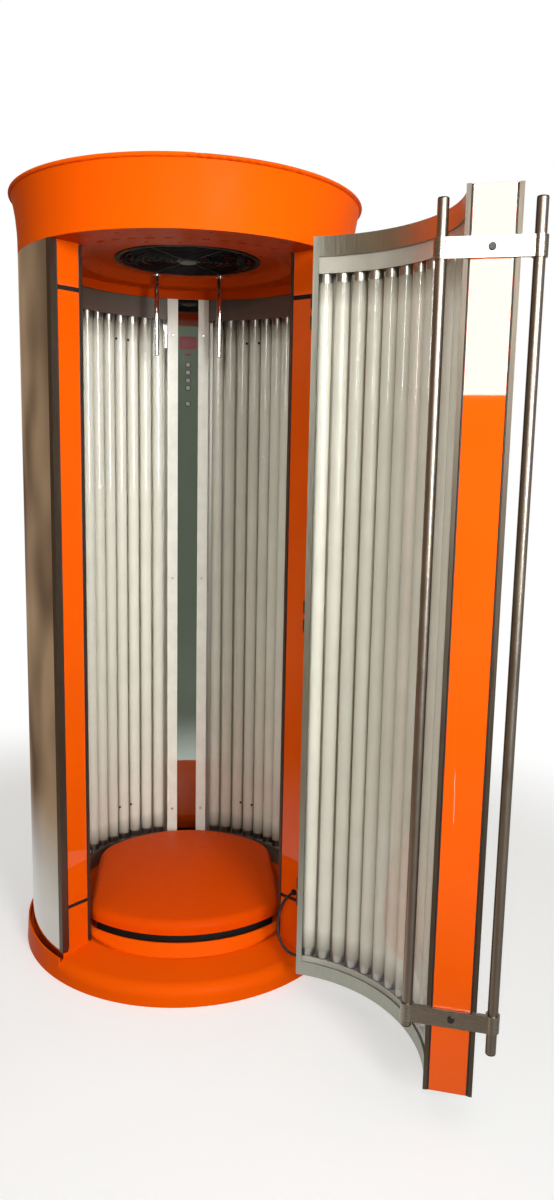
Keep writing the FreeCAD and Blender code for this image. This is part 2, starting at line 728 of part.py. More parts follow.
def skin_joint_strips():
    strips = []
    half = angle_for(JOINT_STRIP_W / 2, SKIN_R)
    low = DECK_Z + SKIN_LIFT
    r_in = SKIN_R + CLEAR
    for way in (-1, 1):
        middle = 90.0 + way * SKIN_JOINT_ANGLE
        strips.append(
            sector(r_in, r_in + JOINT_STRIP_T, low, CEILING_Z - CLEAR, middle - half, middle + half)
        )
    return strips


# ---- Lamps and what holds them ------------------------------------------------------------------


def lamp_step():
    return math.degrees(LAMP_PITCH / LAMP_CIRCLE_R)


def body_lamp_angles():
    """As many lamps as fit on each side between the column and the jamb's post."""
    first = angle_for(COLUMN_HALF_W + LAMP_COLUMN_GAP + LAMP_R, LAMP_CIRCLE_R)
    post = JAMB_COVER_T + POST_DEPTH + CLEAR + LAMP_END_GAP + LAMP_R
    last = 90.0 - RIGHT_JAMB - angle_for(post, LAMP_CIRCLE_R)
    count = 1 + math.floor((last - first) / lamp_step())
    side = [first + lamp_step() * i for i in range(count)]
    return [90.0 - a for a in side] + [90.0 + a for a in side]


def door_lamp_angles():
    """As many lamps as fit between the door's two end plates, in a centred row."""
    a0, a1 = door_inside()
    room = a1 - a0 - 2 * angle_for(LAMP_END_GAP + LAMP_R, LAMP_CIRCLE_R)
    count = 1 + math.floor(room / lamp_step())
    middle = (a0 + a1) / 2
    return [middle + lamp_step() * (i - (count - 1) / 2) for i in range(count)]


def at_lamps(piece, angles):
    """Copies of a piece modelled at the lamp circle on +X, turned to each angle."""
    made = []
    for angle in angles:
        copy = piece.copy()
        copy.rotate(Vec(0, 0, 0), Vec(0, 0, 1), angle)
        made.append(copy)
    return made


def lamp_tube():
    low = LAMP_Z + LAMP_CAP_H
    high = LAMP_TOP_Z - LAMP_CAP_H
    outside = disc(LAMP_R, low, high, LAMP_CIRCLE_R)
    return outside.cut(disc(LAMP_R - LAMP_WALL, low - CUT, high + CUT, LAMP_CIRCLE_R))


def lamp_cap(z, way):
    """A lamp's end cap and its two pins. way is the direction in which the pins point, up or down."""
    cap = disc(LAMP_R, min(z, z - way * LAMP_CAP_H), max(z, z - way * LAMP_CAP_H), LAMP_CIRCLE_R)
    pins = []
    for across in (-PIN_SPACING / 2, PIN_SPACING / 2):
        low = min(z - way, z + way * PIN_LENGTH)
        high = max(z - way, z + way * PIN_LENGTH)
        pins.append(disc(PIN_R, low, high, LAMP_CIRCLE_R, across))
    return fuse(cap, *pins)


def lampholder(z, way):
    """A block with two pin holes. Its open face is at z and way points from it into the block."""
    low = min(z, z + way * HOLDER_H)
    high = max(z, z + way * HOLDER_H)
    half_d = HOLDER_DEPTH / 2
    half_w = HOLDER_W / 2
    block = box(LAMP_CIRCLE_R - half_d, LAMP_CIRCLE_R + half_d, -half_w, half_w, low, high)
    for across in (-PIN_SPACING / 2, PIN_SPACING / 2):
        deep = PIN_LENGTH + 2 * CLEAR
        bottom = min(z - way * CUT, z + way * deep)
        top = max(z - way * CUT, z + way * deep)
        block = block.cut(disc(PIN_R + CLEAR / 3, bottom, top, LAMP_CIRCLE_R, across))
    return block


def lamp_nodes(tube_node, cap_node, holder_node, angles, place=lambda shape: shape):
    caps = [lamp_cap(LAMP_Z, -1), lamp_cap(LAMP_TOP_Z, 1)]
    holders = [lampholder(HOLDER_TOP_Z, -1), lampholder(UPPER_HOLDER_Z, 1)]
    keep(tube_node, *[place(s) for s in at_lamps(lamp_tube(), angles)])
    keep(cap_node, *[place(s) for cap in caps for s in at_lamps(cap, angles)])
    keep(holder_node, *[place(s) for holder in holders for s in at_lamps(holder, angles)])


def lamp_rails(front_r, foot_z, head_z, a0, a1, ledge=0.0):
    """Lower and upper curved channels that carry the lampholders between foot_z and head_z.

    Each has a skirting on the cabin side, which hides the lamp ends. The lower one may have a ledge
    for the shield to stand on.
    """
    skirt_top = SHELF_Z + SKIRT_H
    skirt_low = UPPER_SHELF_Z - SKIRT_H
    lower = [
        sector(front_r, RAIL_OUT_R, SHELF_Z - SHELF_T, SHELF_Z, a0, a1),
        sector(front_r, front_r + RAIL_T, foot_z, skirt_top, a0, a1),
        sector(RAIL_OUT_R - RAIL_T, RAIL_OUT_R, foot_z, SHELF_Z, a0, a1),
    ]
    if ledge:
        lower.append(sector(front_r - ledge, front_r + RAIL_T, skirt_top - RAIL_T, skirt_top, a0, a1))
    upper = [
        sector(front_r, RAIL_OUT_R, UPPER_SHELF_Z, UPPER_SHELF_Z + SHELF_T, a0, a1),
        sector(front_r, front_r + RAIL_T, skirt_low, head_z, a0, a1),
        sector(RAIL_OUT_R - RAIL_T, RAIL_OUT_R, UPPER_SHELF_Z, head_z, a0, a1),
    ]
    return [fuse(*lower), fuse(*upper)]


def wall_span(radius, half_w):
    """Right-hand angles of a piece between the right jamb's post and the column's half width."""
    start = RIGHT_JAMB + angle_for(JAMB_COVER_T + POST_DEPTH + 2 * CLEAR, radius)
    stop = 90.0 - angle_for(half_w + 2 * CLEAR, radius)
    return start, stop


# ---- Control column -----------------------------------------------------------------------------


def column_spine():
    front = COLUMN_FRONT_Y + COLUMN_DEPTH + CLEAR
    outer = box(-SPINE_HALF_W, SPINE_HALF_W, front, front + SPINE_DEPTH, DECK_Z, CEILING_Z)
    half = SPINE_HALF_W - SPINE_T
    return outer.cut(
        box(-half, half, front + SPINE_T, front + SPINE_DEPTH + CUT, DECK_Z - CUT, CEILING_Z + CUT)
    )


def screw_holes(radius, low_y, high_y):
    holes = []
    for z in SCREW_HEIGHTS:
        holes.append(Part.makeCylinder(radius, high_y - low_y, Vec(SCREW_X, low_y, z), Vec(0, 1, 0)))
    return Part.makeCompound(holes)


def column_profile():
    """The right-hand white profile, with a rebate for the fascia and holes for its screws."""
    back = COLUMN_FRONT_Y + COLUMN_DEPTH
    inner = FASCIA_HALF_W + CLEAR
    profile = box(inner, COLUMN_HALF_W, COLUMN_FRONT_Y, back, COLUMN_BOTTOM_Z, COLUMN_TOP_Z)
    return profile.cut(screw_holes(SCREW_SHANK_R + CLEAR / 2, COLUMN_FRONT_Y - CUT, back + CUT))


def button_heights():
    """Four buttons in a row and the last one set apart below them."""
    top = DISPLAY_Z - BUTTON_DROP
    heights = [top - BUTTON_PITCH * i for i in range(BUTTON_COUNT - 1)]
    return heights + [heights[-1] - BUTTON_LAST_DROP]


def window_box(width, height, z, grow):
    half = width / 2 + grow
    return box(
        -half,
        half,
        FASCIA_Y - WINDOW_PROUD - grow * 4,
        FASCIA_Y + FASCIA_T + grow * 4,
        z - height / 2 - grow,
        z + height / 2 + grow,
    )


def windows(grow):
    display = window_box(DISPLAY_W, DISPLAY_H, DISPLAY_Z, grow)
    sensor = window_box(SENSOR_W, SENSOR_H, SENSOR_Z, grow)
    return [display, sensor]


def button(z):
    """A domed cap with a flange behind the fascia that keeps it in its hole."""
    along = Vec(0, 1, 0)
    seat = FASCIA_Y + FASCIA_T + CLEAR / 2
    front = FASCIA_Y - BUTTON_PROUD
    cap = Part.makeCylinder(BUTTON_R, seat - front + BUTTON_FLANGE_T / 2, Vec(0, front, z), along)
    cap = cap.makeFillet(BUTTON_PROUD / 2, [cap.Edges[2]])
    flange = Part.makeCylinder(BUTTON_R + BUTTON_FLANGE_W, BUTTON_FLANGE_T, Vec(0, seat, z), along)
    return fuse(cap, flange)


def button_hole(z):
    start = Vec(0, FASCIA_Y - CUT, z)
    return Part.makeCylinder(BUTTON_R + CLEAR, FASCIA_T + 2 * CUT, start, Vec(0, 1, 0))


def column_fascia():
    strip = box(
        -FASCIA_HALF_W,
        FASCIA_HALF_W,
        FASCIA_Y,
        FASCIA_Y + FASCIA_T,
        COLUMN_BOTTOM_Z,
        COLUMN_TOP_Z,
    )
    for window in windows(CLEAR / 2):
        strip = strip.cut(window)
    for z in button_heights():
        strip = strip.cut(button_hole(z))
    return strip


def display_board():
    front = FASCIA_Y + FASCIA_T + BOARD_GAP
    low = button_heights()[-1] - BOARD_MARGIN
    high = DISPLAY_Z + DISPLAY_H / 2 + BOARD_MARGIN
    half = BOARD_W / 2
    board = box(-half, half, front, front + BOARD_T, low, high)
    posts = []
    for x in (-half + 2 * STANDOFF_R, half - 2 * STANDOFF_R):
        for z in (low + 2 * STANDOFF_R, high - 2 * STANDOFF_R):
            place = Vec(x, FASCIA_Y + FASCIA_T, z)
            posts.append(Part.makeCylinder(STANDOFF_R, BOARD_GAP + BOARD_T / 2, place, Vec(0, 1, 0)))
    return fuse(board, *posts)


def column_screws():
    screws = []
    for x in (-SCREW_X, SCREW_X):
        for z in SCREW_HEIGHTS:
            head_y = COLUMN_FRONT_Y - SCREW_HEAD_H
            head = Part.makeCylinder(SCREW_HEAD_R, SCREW_HEAD_H, Vec(x, head_y, z), Vec(0, 1, 0))
            head = head.makeFillet(SCREW_HEAD_H / 2, [head.Edges[2]])
            shank = Part.makeCylinder(
                SCREW_SHANK_R, SCREW_LENGTH + SCREW_HEAD_H / 2, Vec(x, head_y + SCREW_HEAD_H / 2, z), Vec(0, 1, 0)
            )
            screws.append(fuse(head, shank))
    return screws


# ---- Ceiling, fan and grips ---------------------------------------------------------------------


def ceiling_panel():
    """Ceiling moulding: flat rim, raised middle with the fan hole, skirt over the shields, slots."""
    t = CEILING_T
    plate = turned(
        [
            (CEILING_R, CEILING_Z),
            (RECESS_EDGE_R, CEILING_Z),
            (RECESS_R, RECESS_Z),
            (FAN_HOLE_R, RECESS_Z),
            (FAN_HOLE_R, RECESS_Z + t),
            (RECESS_R + t / 2, RECESS_Z + t),
            (RECESS_EDGE_R + t / 2, CEILING_Z + t),
            (CEILING_R, CEILING_Z + t),
        ]
    )
    skirt = sector(
        CEILING_SKIRT_R - t,
        CEILING_SKIRT_R,
        CEILING_Z - CEILING_SKIRT_H,
        CEILING_Z + t / 2,
        RIGHT_JAMB + CEILING_SKIRT_END,
        LEFT_JAMB - CEILING_SKIRT_END,
    )
    panel = fuse(plate, skirt)
    step = math.degrees(SLOT_PITCH / SLOT_CIRCLE_R)
    slots = []
    for i in range(SLOT_COUNT):
        edge = dict(angle=-90.0 + step * (i - (SLOT_COUNT - 1) / 2), side=1)
        slots.append(
            edge_block(
                edge,
                SLOT_CIRCLE_R - SLOT_DEPTH / 2,
                SLOT_CIRCLE_R + SLOT_DEPTH / 2,
                -SLOT_W / 2,
                SLOT_W / 2,
                CEILING_Z - CUT,
                CEILING_Z + t + CUT,
            )
        )
    return panel.cut(Part.makeCompound(slots))


def fan_guard():
    """Flat wire rings on spokes, with a flange that lies against the ceiling from below."""
    high = RECESS_Z - CLEAR / 3
    low = high - GUARD_T
    flange_out = FAN_HOLE_R + GUARD_FLANGE
    pieces = [ring(FAN_HOLE_R - GUARD_FLANGE / 2, flange_out, low, high)]
    radius = FAN_HOLE_R - GUARD_FLANGE / 2 - GUARD_RING_PITCH
    while radius > GUARD_HUB_R + GUARD_RING_PITCH / 2:
        pieces.append(ring(radius - GUARD_WIRE_W / 2, radius + GUARD_WIRE_W / 2, low, high))
        radius -= GUARD_RING_PITCH
    hub = disc(GUARD_HUB_R, low, high)
    for i in range(GUARD_SPOKES):
        edge = dict(angle=360.0 / GUARD_SPOKES * i, side=1)
        pieces.append(
            edge_block(edge, GUARD_HUB_R / 2, FAN_HOLE_R, -GUARD_SPOKE_W / 2, GUARD_SPOKE_W / 2, low, high)
        )
    return fuse(hub, *pieces)


def impeller_base():
    return RECESS_Z + IMPELLER_LIFT


def bracket_z():
    return impeller_base() + IMPELLER_H + MOTOR_LIFT


def fan_impeller():
    """Hub, set of pitched blades and the motor shaft that carries them."""
    low = impeller_base()
    hub = disc(HUB_R, low, low + IMPELLER_H)
    shaft_top = bracket_z() + BRACKET_T + SHAFT_REACH
    shaft = disc(SHAFT_R, low + IMPELLER_H / 2, shaft_top)
    blades = []
    for i in range(BLADE_COUNT):
        root = HUB_R - 2 * BLADE_T
        blade = box(root, IMPELLER_R, -BLADE_CHORD / 2, BLADE_CHORD / 2, -BLADE_T / 2, BLADE_T / 2)
        blade.rotate(Vec(0, 0, 0), Vec(1, 0, 0), BLADE_PITCH_ANGLE)
        blade.translate(Vec(0, 0, low + IMPELLER_H / 2))
        blade.rotate(Vec(0, 0, 0), Vec(0, 0, 1), 360.0 / BLADE_COUNT * i)
        blades.append(blade.common(disc(IMPELLER_R, low, low + IMPELLER_H)))
    return fuse(hub, shaft, *blades)


def fan_bracket():
    """Cross of flat bars on feet that stand on the ceiling panel and carry the motor."""
    low = bracket_z()
    foot_z = RECESS_Z + CEILING_T
    centre = disc(MOTOR_R, low, low + BRACKET_T)
    arms = []
    for i in range(BRACKET_ARMS):
        edge = dict(angle=45.0 + 360.0 / BRACKET_ARMS * i, side=1)
        half = BRACKET_W / 2
        arms.append(edge_block(edge, 0, BRACKET_FOOT_R, -half, half, low, low + BRACKET_T))
        leg_in = BRACKET_FOOT_R - BRACKET_T
        arms.append(edge_block(edge, leg_in, BRACKET_FOOT_R, -half, half, foot_z, low + BRACKET_T))
        foot_in = BRACKET_FOOT_R - BRACKET_W
        arms.append(edge_block(edge, foot_in, BRACKET_FOOT_R, -half, half, foot_z, foot_z + BRACKET_T))
    hole = disc(SHAFT_R + 2, low - CUT, low + BRACKET_T + CUT)
    return fuse(centre, *arms).cut(hole)


def fan_motor():
    low = bracket_z() + BRACKET_T
    can = disc(MOTOR_R, low, low + MOTOR_H)
    return can.cut(disc(SHAFT_R + SHAFT_CLEAR, low - CUT, low + SHAFT_REACH + CUT))


def hand_grip(x):
    top = RECESS_Z
    rosette = disc(GRIP_ROSETTE_R, top - GRIP_ROSETTE_T, top, x, GRIP_Y)
    rosette = rosette.makeFillet(GRIP_ROSETTE_T / 2, [rosette.Edges[2]])
    bar = disc(GRIP_R, top - GRIP_LENGTH, top - GRIP_ROSETTE_T / 2, x, GRIP_Y)
    bar = bar.makeFillet(GRIP_R / 3, [bar.Edges[2]])
    return fuse(rosette, bar)


# ---- Canopy -------------------------------------------------------------------------------------


def canopy_inner_radius(z):
    """Inner radius of the flared canopy wall at a height above the straight part."""
    rise = CANOPY_H - CANOPY_STRAIGHT_H - CANOPY_BEAD_R
    sweep = (CANOPY_FLARE_OUT**2 + rise**2) / (2 * CANOPY_FLARE_OUT)
    up = z - CEILING_Z - CANOPY_STRAIGHT_H
    inner = sweep + CANOPY_T
    return SKIN_R + sweep - math.sqrt(inner**2 - up**2)


def canopy_shell():
    """Orange band that flares upwards to a rolled lip, with an inner flange that lies on the ceiling."""
    z1 = CEILING_Z + CANOPY_STRAIGHT_H
    rise = CANOPY_H - CANOPY_STRAIGHT_H - CANOPY_BEAD_R
    sweep = (CANOPY_FLARE_OUT**2 + rise**2) / (2 * CANOPY_FLARE_OUT)
    end = math.asin(rise / sweep)

    def on_arc(radius, angle):
        return (SKIN_R + sweep - radius * math.cos(angle), z1 + radius * math.sin(angle))

    inner = sweep + CANOPY_T
    band = turned(
        [
            (SKIN_R, CEILING_Z),
            (SKIN_R, z1),
            (on_arc(sweep, end / 2), on_arc(sweep, end)),
            on_arc(inner, end),
            (on_arc(inner, end / 2), (SKIN_R - CANOPY_T, z1)),
            (SKIN_R - CANOPY_T, CEILING_Z),
        ]
    )
    bead_r = SKIN_R + CANOPY_FLARE_OUT
    bead = Part.makeTorus(bead_r, CANOPY_BEAD_R, Vec(0, 0, TOP_Z - CANOPY_BEAD_R))
    flange_z = CEILING_Z + CEILING_T
    flange = ring(
        SKIN_R - CANOPY_FLANGE_W, SKIN_R - CANOPY_T / 2, flange_z, flange_z + CANOPY_FLANGE_T
    )
    lid_z = TOP_Z - LID_DROP
    wall_in = canopy_inner_radius(lid_z)
    ledge = ring(wall_in - LID_LEDGE_W, wall_in + CANOPY_T / 2, lid_z - LID_T, lid_z)
    shell = fuse(band, bead, flange, ledge)
    gland_z = CEILING_Z + GLAND_RISE
    hole = Part.makeCylinder(
        GLAND_BODY_R + CLEAR, 4 * CANOPY_T, Vec(0, SKIN_R - 3 * CANOPY_T, gland_z), Vec(0, 1, 0)
    )
    return shell.cut(hole)


def canopy_lid():
    low = TOP_Z - LID_DROP
    lid = disc(canopy_inner_radius(low) - 2 * CLEAR, low, low + LID_T)
    slots = []
    for i in range(LID_SLOTS):
        edge = dict(angle=360.0 / LID_SLOTS * i, side=1)
        slots.append(
            edge_block(
                edge,
                LID_SLOT_IN_R,
                LID_SLOT_IN_R + LID_SLOT_LENGTH,
                -LID_SLOT_W / 2,
                LID_SLOT_W / 2,
                low - CUT,
                low + LID_T + CUT,
            )
        )
    return lid.cut(Part.makeCompound(slots))


def ballasts():
    """Lamp ballasts in an arc on the ceiling panel. The terminal box has the free place at the back."""
    low = CEILING_Z + CEILING_T
    made = []
    step = math.degrees(BALLAST_PITCH / BALLAST_R)
    box_half = angle_for((BOX_LENGTH + BALLAST_PITCH) / 2, BALLAST_R)
    count = 1 + math.floor((360.0 - 2 * box_half) / step)
    for i in range(count):
        angle = -90.0 + step * (i - (count - 1) / 2)
        edge = dict(angle=angle, side=1)
        block = edge_block(
            edge,
            BALLAST_R - BALLAST_W / 2,
            BALLAST_R + BALLAST_W / 2,
            -BALLAST_LENGTH / 2,
            BALLAST_LENGTH / 2,
            low,
            low + BALLAST_H,
        )
        made.append(block)
    return made


def terminal_box():
    low = CEILING_Z + CEILING_T
    y1 = SKIN_R - CANOPY_FLANGE_W - BOX_GAP
    body = box(-BOX_LENGTH / 2, BOX_LENGTH / 2, y1 - BOX_DEPTH, y1, low, low + BOX_H)
    upright_edges = [e for e in body.Edges if abs(e.BoundBox.ZLength - BOX_H) < 1e-6]
    return body.makeFillet(6.0, upright_edges)


def mains_gland():
    """Cable gland in the back of the canopy: hexagon, threaded body, nut and a through bore."""
    z = CEILING_Z + GLAND_RISE
    along = Vec(0, 1, 0)
    seat = SKIN_R + canopy_bulge() + CLEAR
    inside = SKIN_R - CANOPY_T - GLAND_HEX_T - 2 * CLEAR

    def hexagon(y0, length):
        points = [
            Vec(GLAND_HEX_R * math.cos(math.radians(60 * i)), y0, z + GLAND_HEX_R * math.sin(math.radians(60 * i)))
            for i in range(6)
        ]
        return Part.Face(Part.makePolygon(points + points[:1])).extrude(Vec(0, length, 0))

    body = Part.makeCylinder(GLAND_BODY_R, seat - inside + GLAND_HEX_T, Vec(0, inside, z), along)
    nose = Part.makeCylinder(GLAND_BODY_R, GLAND_NOSE, Vec(0, seat, z), along)
    solid = fuse(body, nose, hexagon(seat, GLAND_HEX_T), hexagon(inside, GLAND_HEX_T))
    return solid.cut(Part.makeCylinder(GLAND_BORE_R, 100, Vec(0, inside - CUT, z), along))


def canopy_bulge():
    """How far the flare has moved out at the gland's height, at the top of its hexagon."""
    return canopy_inner_radius(CEILING_Z + GLAND_RISE + GLAND_HEX_R) - (SKIN_R - CANOPY_T)


# ---- Door, modelled closed and then swung to its rest angle ---------------------------------------

HINGE_AXIS = polar(HINGE_R, HINGE_ANGLE)


def open_door(shape):
    """Swings a door piece from its closed place to where the door stands at rest."""
    swung = shape.copy()
    swung.rotate(HINGE_AXIS, Vec(0, 0, 1), DOOR_REST_ANGLE)
    return swung


def door_frame():
    """Aluminium frame: channels along the top and bottom, flanged plates up both ends."""
    p = DOOR_PLATE_T
    skin_in = DOOR_OUT_R - SKIN_T - CLEAR
    free_t = END_COVER_T + CLEAR
    a0 = DOOR_LEFT + angle_for(free_t, DOOR_IN_R)
    a1 = DOOR_RIGHT
    top = DOOR_TOP_Z
    low = DOOR_Z
    pieces = [
        sector(DOOR_IN_R, skin_in, top - p, top, a0, a1),
        sector(DOOR_IN_R, DOOR_IN_R + p, top - DOOR_TOP_RAIL_H, top, a0, a1),
        sector(skin_in - p, skin_in, top - DOOR_TOP_RAIL_H, top, a0, a1),
        sector(DOOR_IN_R, skin_in, low, low + p, a0, a1),
        sector(DOOR_IN_R, DOOR_IN_R + p, low, low + DOOR_BOTTOM_RAIL_H, a0, a1),
        sector(skin_in - p, skin_in, low, low + DOOR_BOTTOM_RAIL_H, a0, a1),
        sector(DOOR_IN_R, skin_in, low, top, a1 - angle_for(p, DOOR_IN_R), a1),
        sector(DOOR_IN_R, skin_in, low, top, a0, a0 + angle_for(p, DOOR_IN_R)),
        sector(DOOR_IN_R, DOOR_IN_R + p, low, top, a1 - angle_for(HINGE_STILE_W, DOOR_IN_R), a1),
        sector(DOOR_IN_R, DOOR_IN_R + p, low, top, a0, a0 + angle_for(LATCH_STILE_W, DOOR_IN_R)),
    ]
    frame = fuse(*pieces)
    holes = [handle_bolt_shape(z, BOLT_R + BOLT_CLEAR, 0) for z in STRAP_HEIGHTS]
    return frame.cut(Part.makeCompound(holes))


def door_inside():
    """Angles between the door frame's two end plates."""
    free_t = END_COVER_T + 2 * CLEAR
    a0 = DOOR_LEFT + angle_for(free_t, DOOR_IN_R) + angle_for(DOOR_PLATE_T, DOOR_IN_R)
    a1 = DOOR_RIGHT - angle_for(DOOR_PLATE_T + CLEAR, DOOR_IN_R)
    return a0, a1


def door_skin():
    a0 = DOOR_LEFT + angle_for(END_COVER_T + CLEAR, DOOR_IN_R)
    return sector(DOOR_OUT_R - SKIN_T, DOOR_OUT_R, DOOR_Z, DOOR_TOP_Z, a0, DOOR_RIGHT)


def door_end_cover():
    """Orange cover on the door's free end, with returned edges."""
    low = DOOR_Z
    high = DOOR_TOP_Z
    cover = edge_block(DOOR_FREE_END, DOOR_IN_R, DOOR_OUT_R, 0, END_COVER_T, low, high)
    holes = [handle_bolt_shape(z, BOLT_R + BOLT_CLEAR, 0) for z in STRAP_HEIGHTS]
    return cover.cut(Part.makeCompound(holes))


def door_end_trims():
    """Aluminium angles on the two upright corners of the door's free end."""
    t = TRIM_T
    low = DOOR_Z
    high = DOOR_TOP_Z
    in_u = DOOR_IN_R - CLEAR
    out_u = DOOR_OUT_R + CLEAR
    edge = DOOR_FREE_END
    width = TRIM_WRAP - 4.0
    inner = fuse(
        edge_block(edge, in_u - t, in_u - t + width, -t, 0, low, high),
        edge_block(edge, in_u - t, in_u, -t, TRIM_WRAP, low, high),
    )
    outer = fuse(
        edge_block(edge, out_u + t - width, out_u + t, -t, 0, low, high),
        edge_block(edge, out_u, out_u + t, -t, TRIM_WRAP, low, high),
    )
    return [inner, outer]


def strap_face_t():
    """t of the straps' side that lies on the trims."""
    return -TRIM_T - CLEAR / 3


def handle_bolt_shape(z, radius, head_h):
    """A bolt along t through the middle of the door's free end. head_h of 0 leaves out the head."""
    u = (DOOR_IN_R + DOOR_OUT_R) / 2
    start_t = strap_face_t() - STRAP_T - BOLT_HEAD_H
    start = edge_point(DOOR_FREE_END, u, start_t, z)
    along = edge_point(DOOR_FREE_END, u, 0, z) - edge_point(DOOR_FREE_END, u, -1, z)
    length = END_COVER_T + CLEAR + DOOR_PLATE_T - start_t
    shank = Part.makeCylinder(radius, length, start, along)
    if not head_h:
        return shank
    head = Part.makeCylinder(BOLT_HEAD_R, head_h, start, along)
    head = head.makeFillet(head_h / 2, [head.Edges[2]])
    return fuse(head, shank)


def handle_straps():
    """Two flat straps across the door's free end, each with a clamp ring round both tubes."""
    edge = DOOR_FREE_END
    face = strap_face_t()
    straps = []
    u0 = DOOR_IN_R - CLEAR - TRIM_T - STRAP_OVERHANG
    u1 = DOOR_OUT_R + CLEAR + TRIM_T + STRAP_OVERHANG
    ring_r = HANDLE_TUBE_R + CLAMP_CLEAR + CLAMP_WALL
    for z in STRAP_HEIGHTS:
        low = z - STRAP_H / 2
        high = z + STRAP_H / 2
        pieces = [edge_block(edge, u0, u1, face - STRAP_T, face, low, high)]
        arm_t = face + STRAP_T
        pieces.append(edge_block(edge, HANDLE_INNER_R, u0 + STRAP_T - 2, face - STRAP_T, arm_t, low, high))
        pieces.append(edge_block(edge, u1 - STRAP_T + 2, HANDLE_OUTER_R, face - STRAP_T, arm_t, low, high))
        bores = []
        for u in (HANDLE_INNER_R, HANDLE_OUTER_R):
            place = edge_point(edge, u, HANDLE_T, low)
            pieces.append(upright(ring_r, place, STRAP_H))
            bores.append(
                upright(HANDLE_TUBE_R + CLAMP_CLEAR, place - Vec(0, 0, CUT), STRAP_H + 2 * CUT)
            )
        bores.append(handle_bolt_shape(z, BOLT_R + BOLT_CLEAR, 0))
        straps.append(fuse(*pieces).cut(Part.makeCompound(bores)))
    return straps


def handle_tubes():
    tubes = []
    runs = (
        (HANDLE_INNER_R, HANDLE_INNER_FOOT, HANDLE_INNER_TOP),
        (HANDLE_OUTER_R, HANDLE_OUTER_FOOT, HANDLE_OUTER_TOP),
    )
    for u, foot, top in runs:
        z = DOOR_Z + foot
        length = DOOR_TOP_Z - top - z
        place = edge_point(DOOR_FREE_END, u, HANDLE_T, z)
        bore_r = HANDLE_TUBE_R - HANDLE_TUBE_WALL
        bore = upright(bore_r, place - Vec(0, 0, CUT), length + 2 * CUT)
        tubes.append(upright(HANDLE_TUBE_R, place, length).cut(bore))
    return tubes


# ---- Hinges -------------------------------------------------------------------------------------


def hinge_knuckle(z0, z1):
    knuckle = upright(KNUCKLE_R, HINGE_AXIS + Vec(0, 0, z0), z1 - z0)
    bore = upright(HINGE_PIN_R + HINGE_PIN_CLEAR, HINGE_AXIS + Vec(0, 0, z0 - CUT), z1 - z0 + 2 * CUT)
    return knuckle, bore


def leaf(edge, face_t, way, z0, z1):
    """A plate on an upright edge with an arm to its knuckle. way is the side of the edge it lies on."""
    inner_t = min(face_t, face_t + way * LEAF_T)
    outer_t = max(face_t, face_t + way * LEAF_T)
    plate = edge_block(edge, LEAF_IN_R, HINGE_R - KNUCKLE_R, inner_t, outer_t, z0, z1)
    a = math.radians(edge["angle"])
    axis_u = HINGE_AXIS.x * math.cos(a) + HINGE_AXIS.y * math.sin(a)
    axis_t = edge["side"] * (HINGE_AXIS.y * math.cos(a) - HINGE_AXIS.x * math.sin(a))
    arm_low = min(inner_t, axis_t)
    arm_high = max(outer_t, axis_t)
    arm_in = axis_u - KNUCKLE_R
    arm = edge_block(edge, arm_in - HINGE_ARM_W / 2, arm_in + HINGE_ARM_W / 2, arm_low, arm_high, z0, z1)
    knuckle, bore = hinge_knuckle(z0, z1)
    return fuse(plate, arm, knuckle).cut(bore)


def hinge_nodes():
    body_leaves = []
    door_leaves = []
    pins = []
    half = DOOR_KNUCKLE_H / 2
    near = half + KNUCKLE_GAP
    far = near + BODY_KNUCKLE_H
    for z in HINGE_HEIGHTS:
        for low, high in ((z - far, z - near), (z + near, z + far)):
            body_leaves.append(leaf(RIGHT, -TRIM_T - CLEAR / 3, -1, low, high))
        door_leaves.append(leaf(DOOR_HINGE_END, -CLEAR / 3, -1, z - half, z + half))
        pin = upright(HINGE_PIN_R, HINGE_AXIS + Vec(0, 0, z - far), 2 * far + HINGE_PIN_HEAD_H / 2)
        head = upright(HINGE_PIN_HEAD_R, HINGE_AXIS + Vec(0, 0, z + far), HINGE_PIN_HEAD_H)
        pins.append(fuse(pin, head))
    keep("hinge_body_leaves", *body_leaves)
    keep("hinge_door_leaves", *[open_door(s) for s in door_leaves])
    keep("hinge_pins", *pins)


# ---- Lead between body and door -------------------------------------------------------------------


def lead_gland(edge, z):
    """A collar on an upright edge that the lead comes out of."""
    seat = edge_point(edge, LEAD_GLAND_U, -CLEAR / 3, z)
    away = edge_point(edge, LEAD_GLAND_U, -1, z) - edge_point(edge, LEAD_GLAND_U, 0, z)
    collar = Part.makeCylinder(LEAD_GLAND_R, LEAD_GLAND_H, seat, away)
    edges = [e for e in collar.Edges if e.Length > LEAD_GLAND_R and e.Closed]
    far = max(edges, key=lambda e: (e.CenterOfMass - seat).Length)
    return collar.makeFillet(LEAD_GLAND_H / 3, [far]), seat + away * LEAD_GLAND_H, away


def rounded_route(points):
    """A wire of straight runs joined by tangent arcs, with the radius of each arc."""
    edges = []
    radii = []
    here = points[0]
    for before, corner, after in zip(points, points[1:], points[2:]):
        back = before - corner
        ahead = after - corner
        run = min(back.Length, ahead.Length)
        back.normalize()
        ahead.normalize()
        turn = math.pi - back.getAngle(ahead)
        reach = 0.45 * run
        radii.append(reach / math.tan(turn / 2))
        start = corner + back * reach
        stop = corner + ahead * reach
        inward = back + ahead
        inward.normalize()
        to_centre = radii[-1] / math.cos(turn / 2)
        middle = corner + inward * (to_centre - radii[-1])
        edges.append(Part.LineSegment(here, start).toShape())
        edges.append(Part.Arc(start, middle, stop).toShape())
        here = stop
    edges.append(Part.LineSegment(here, points[-1]).toShape())
    return Part.Wire(edges), radii


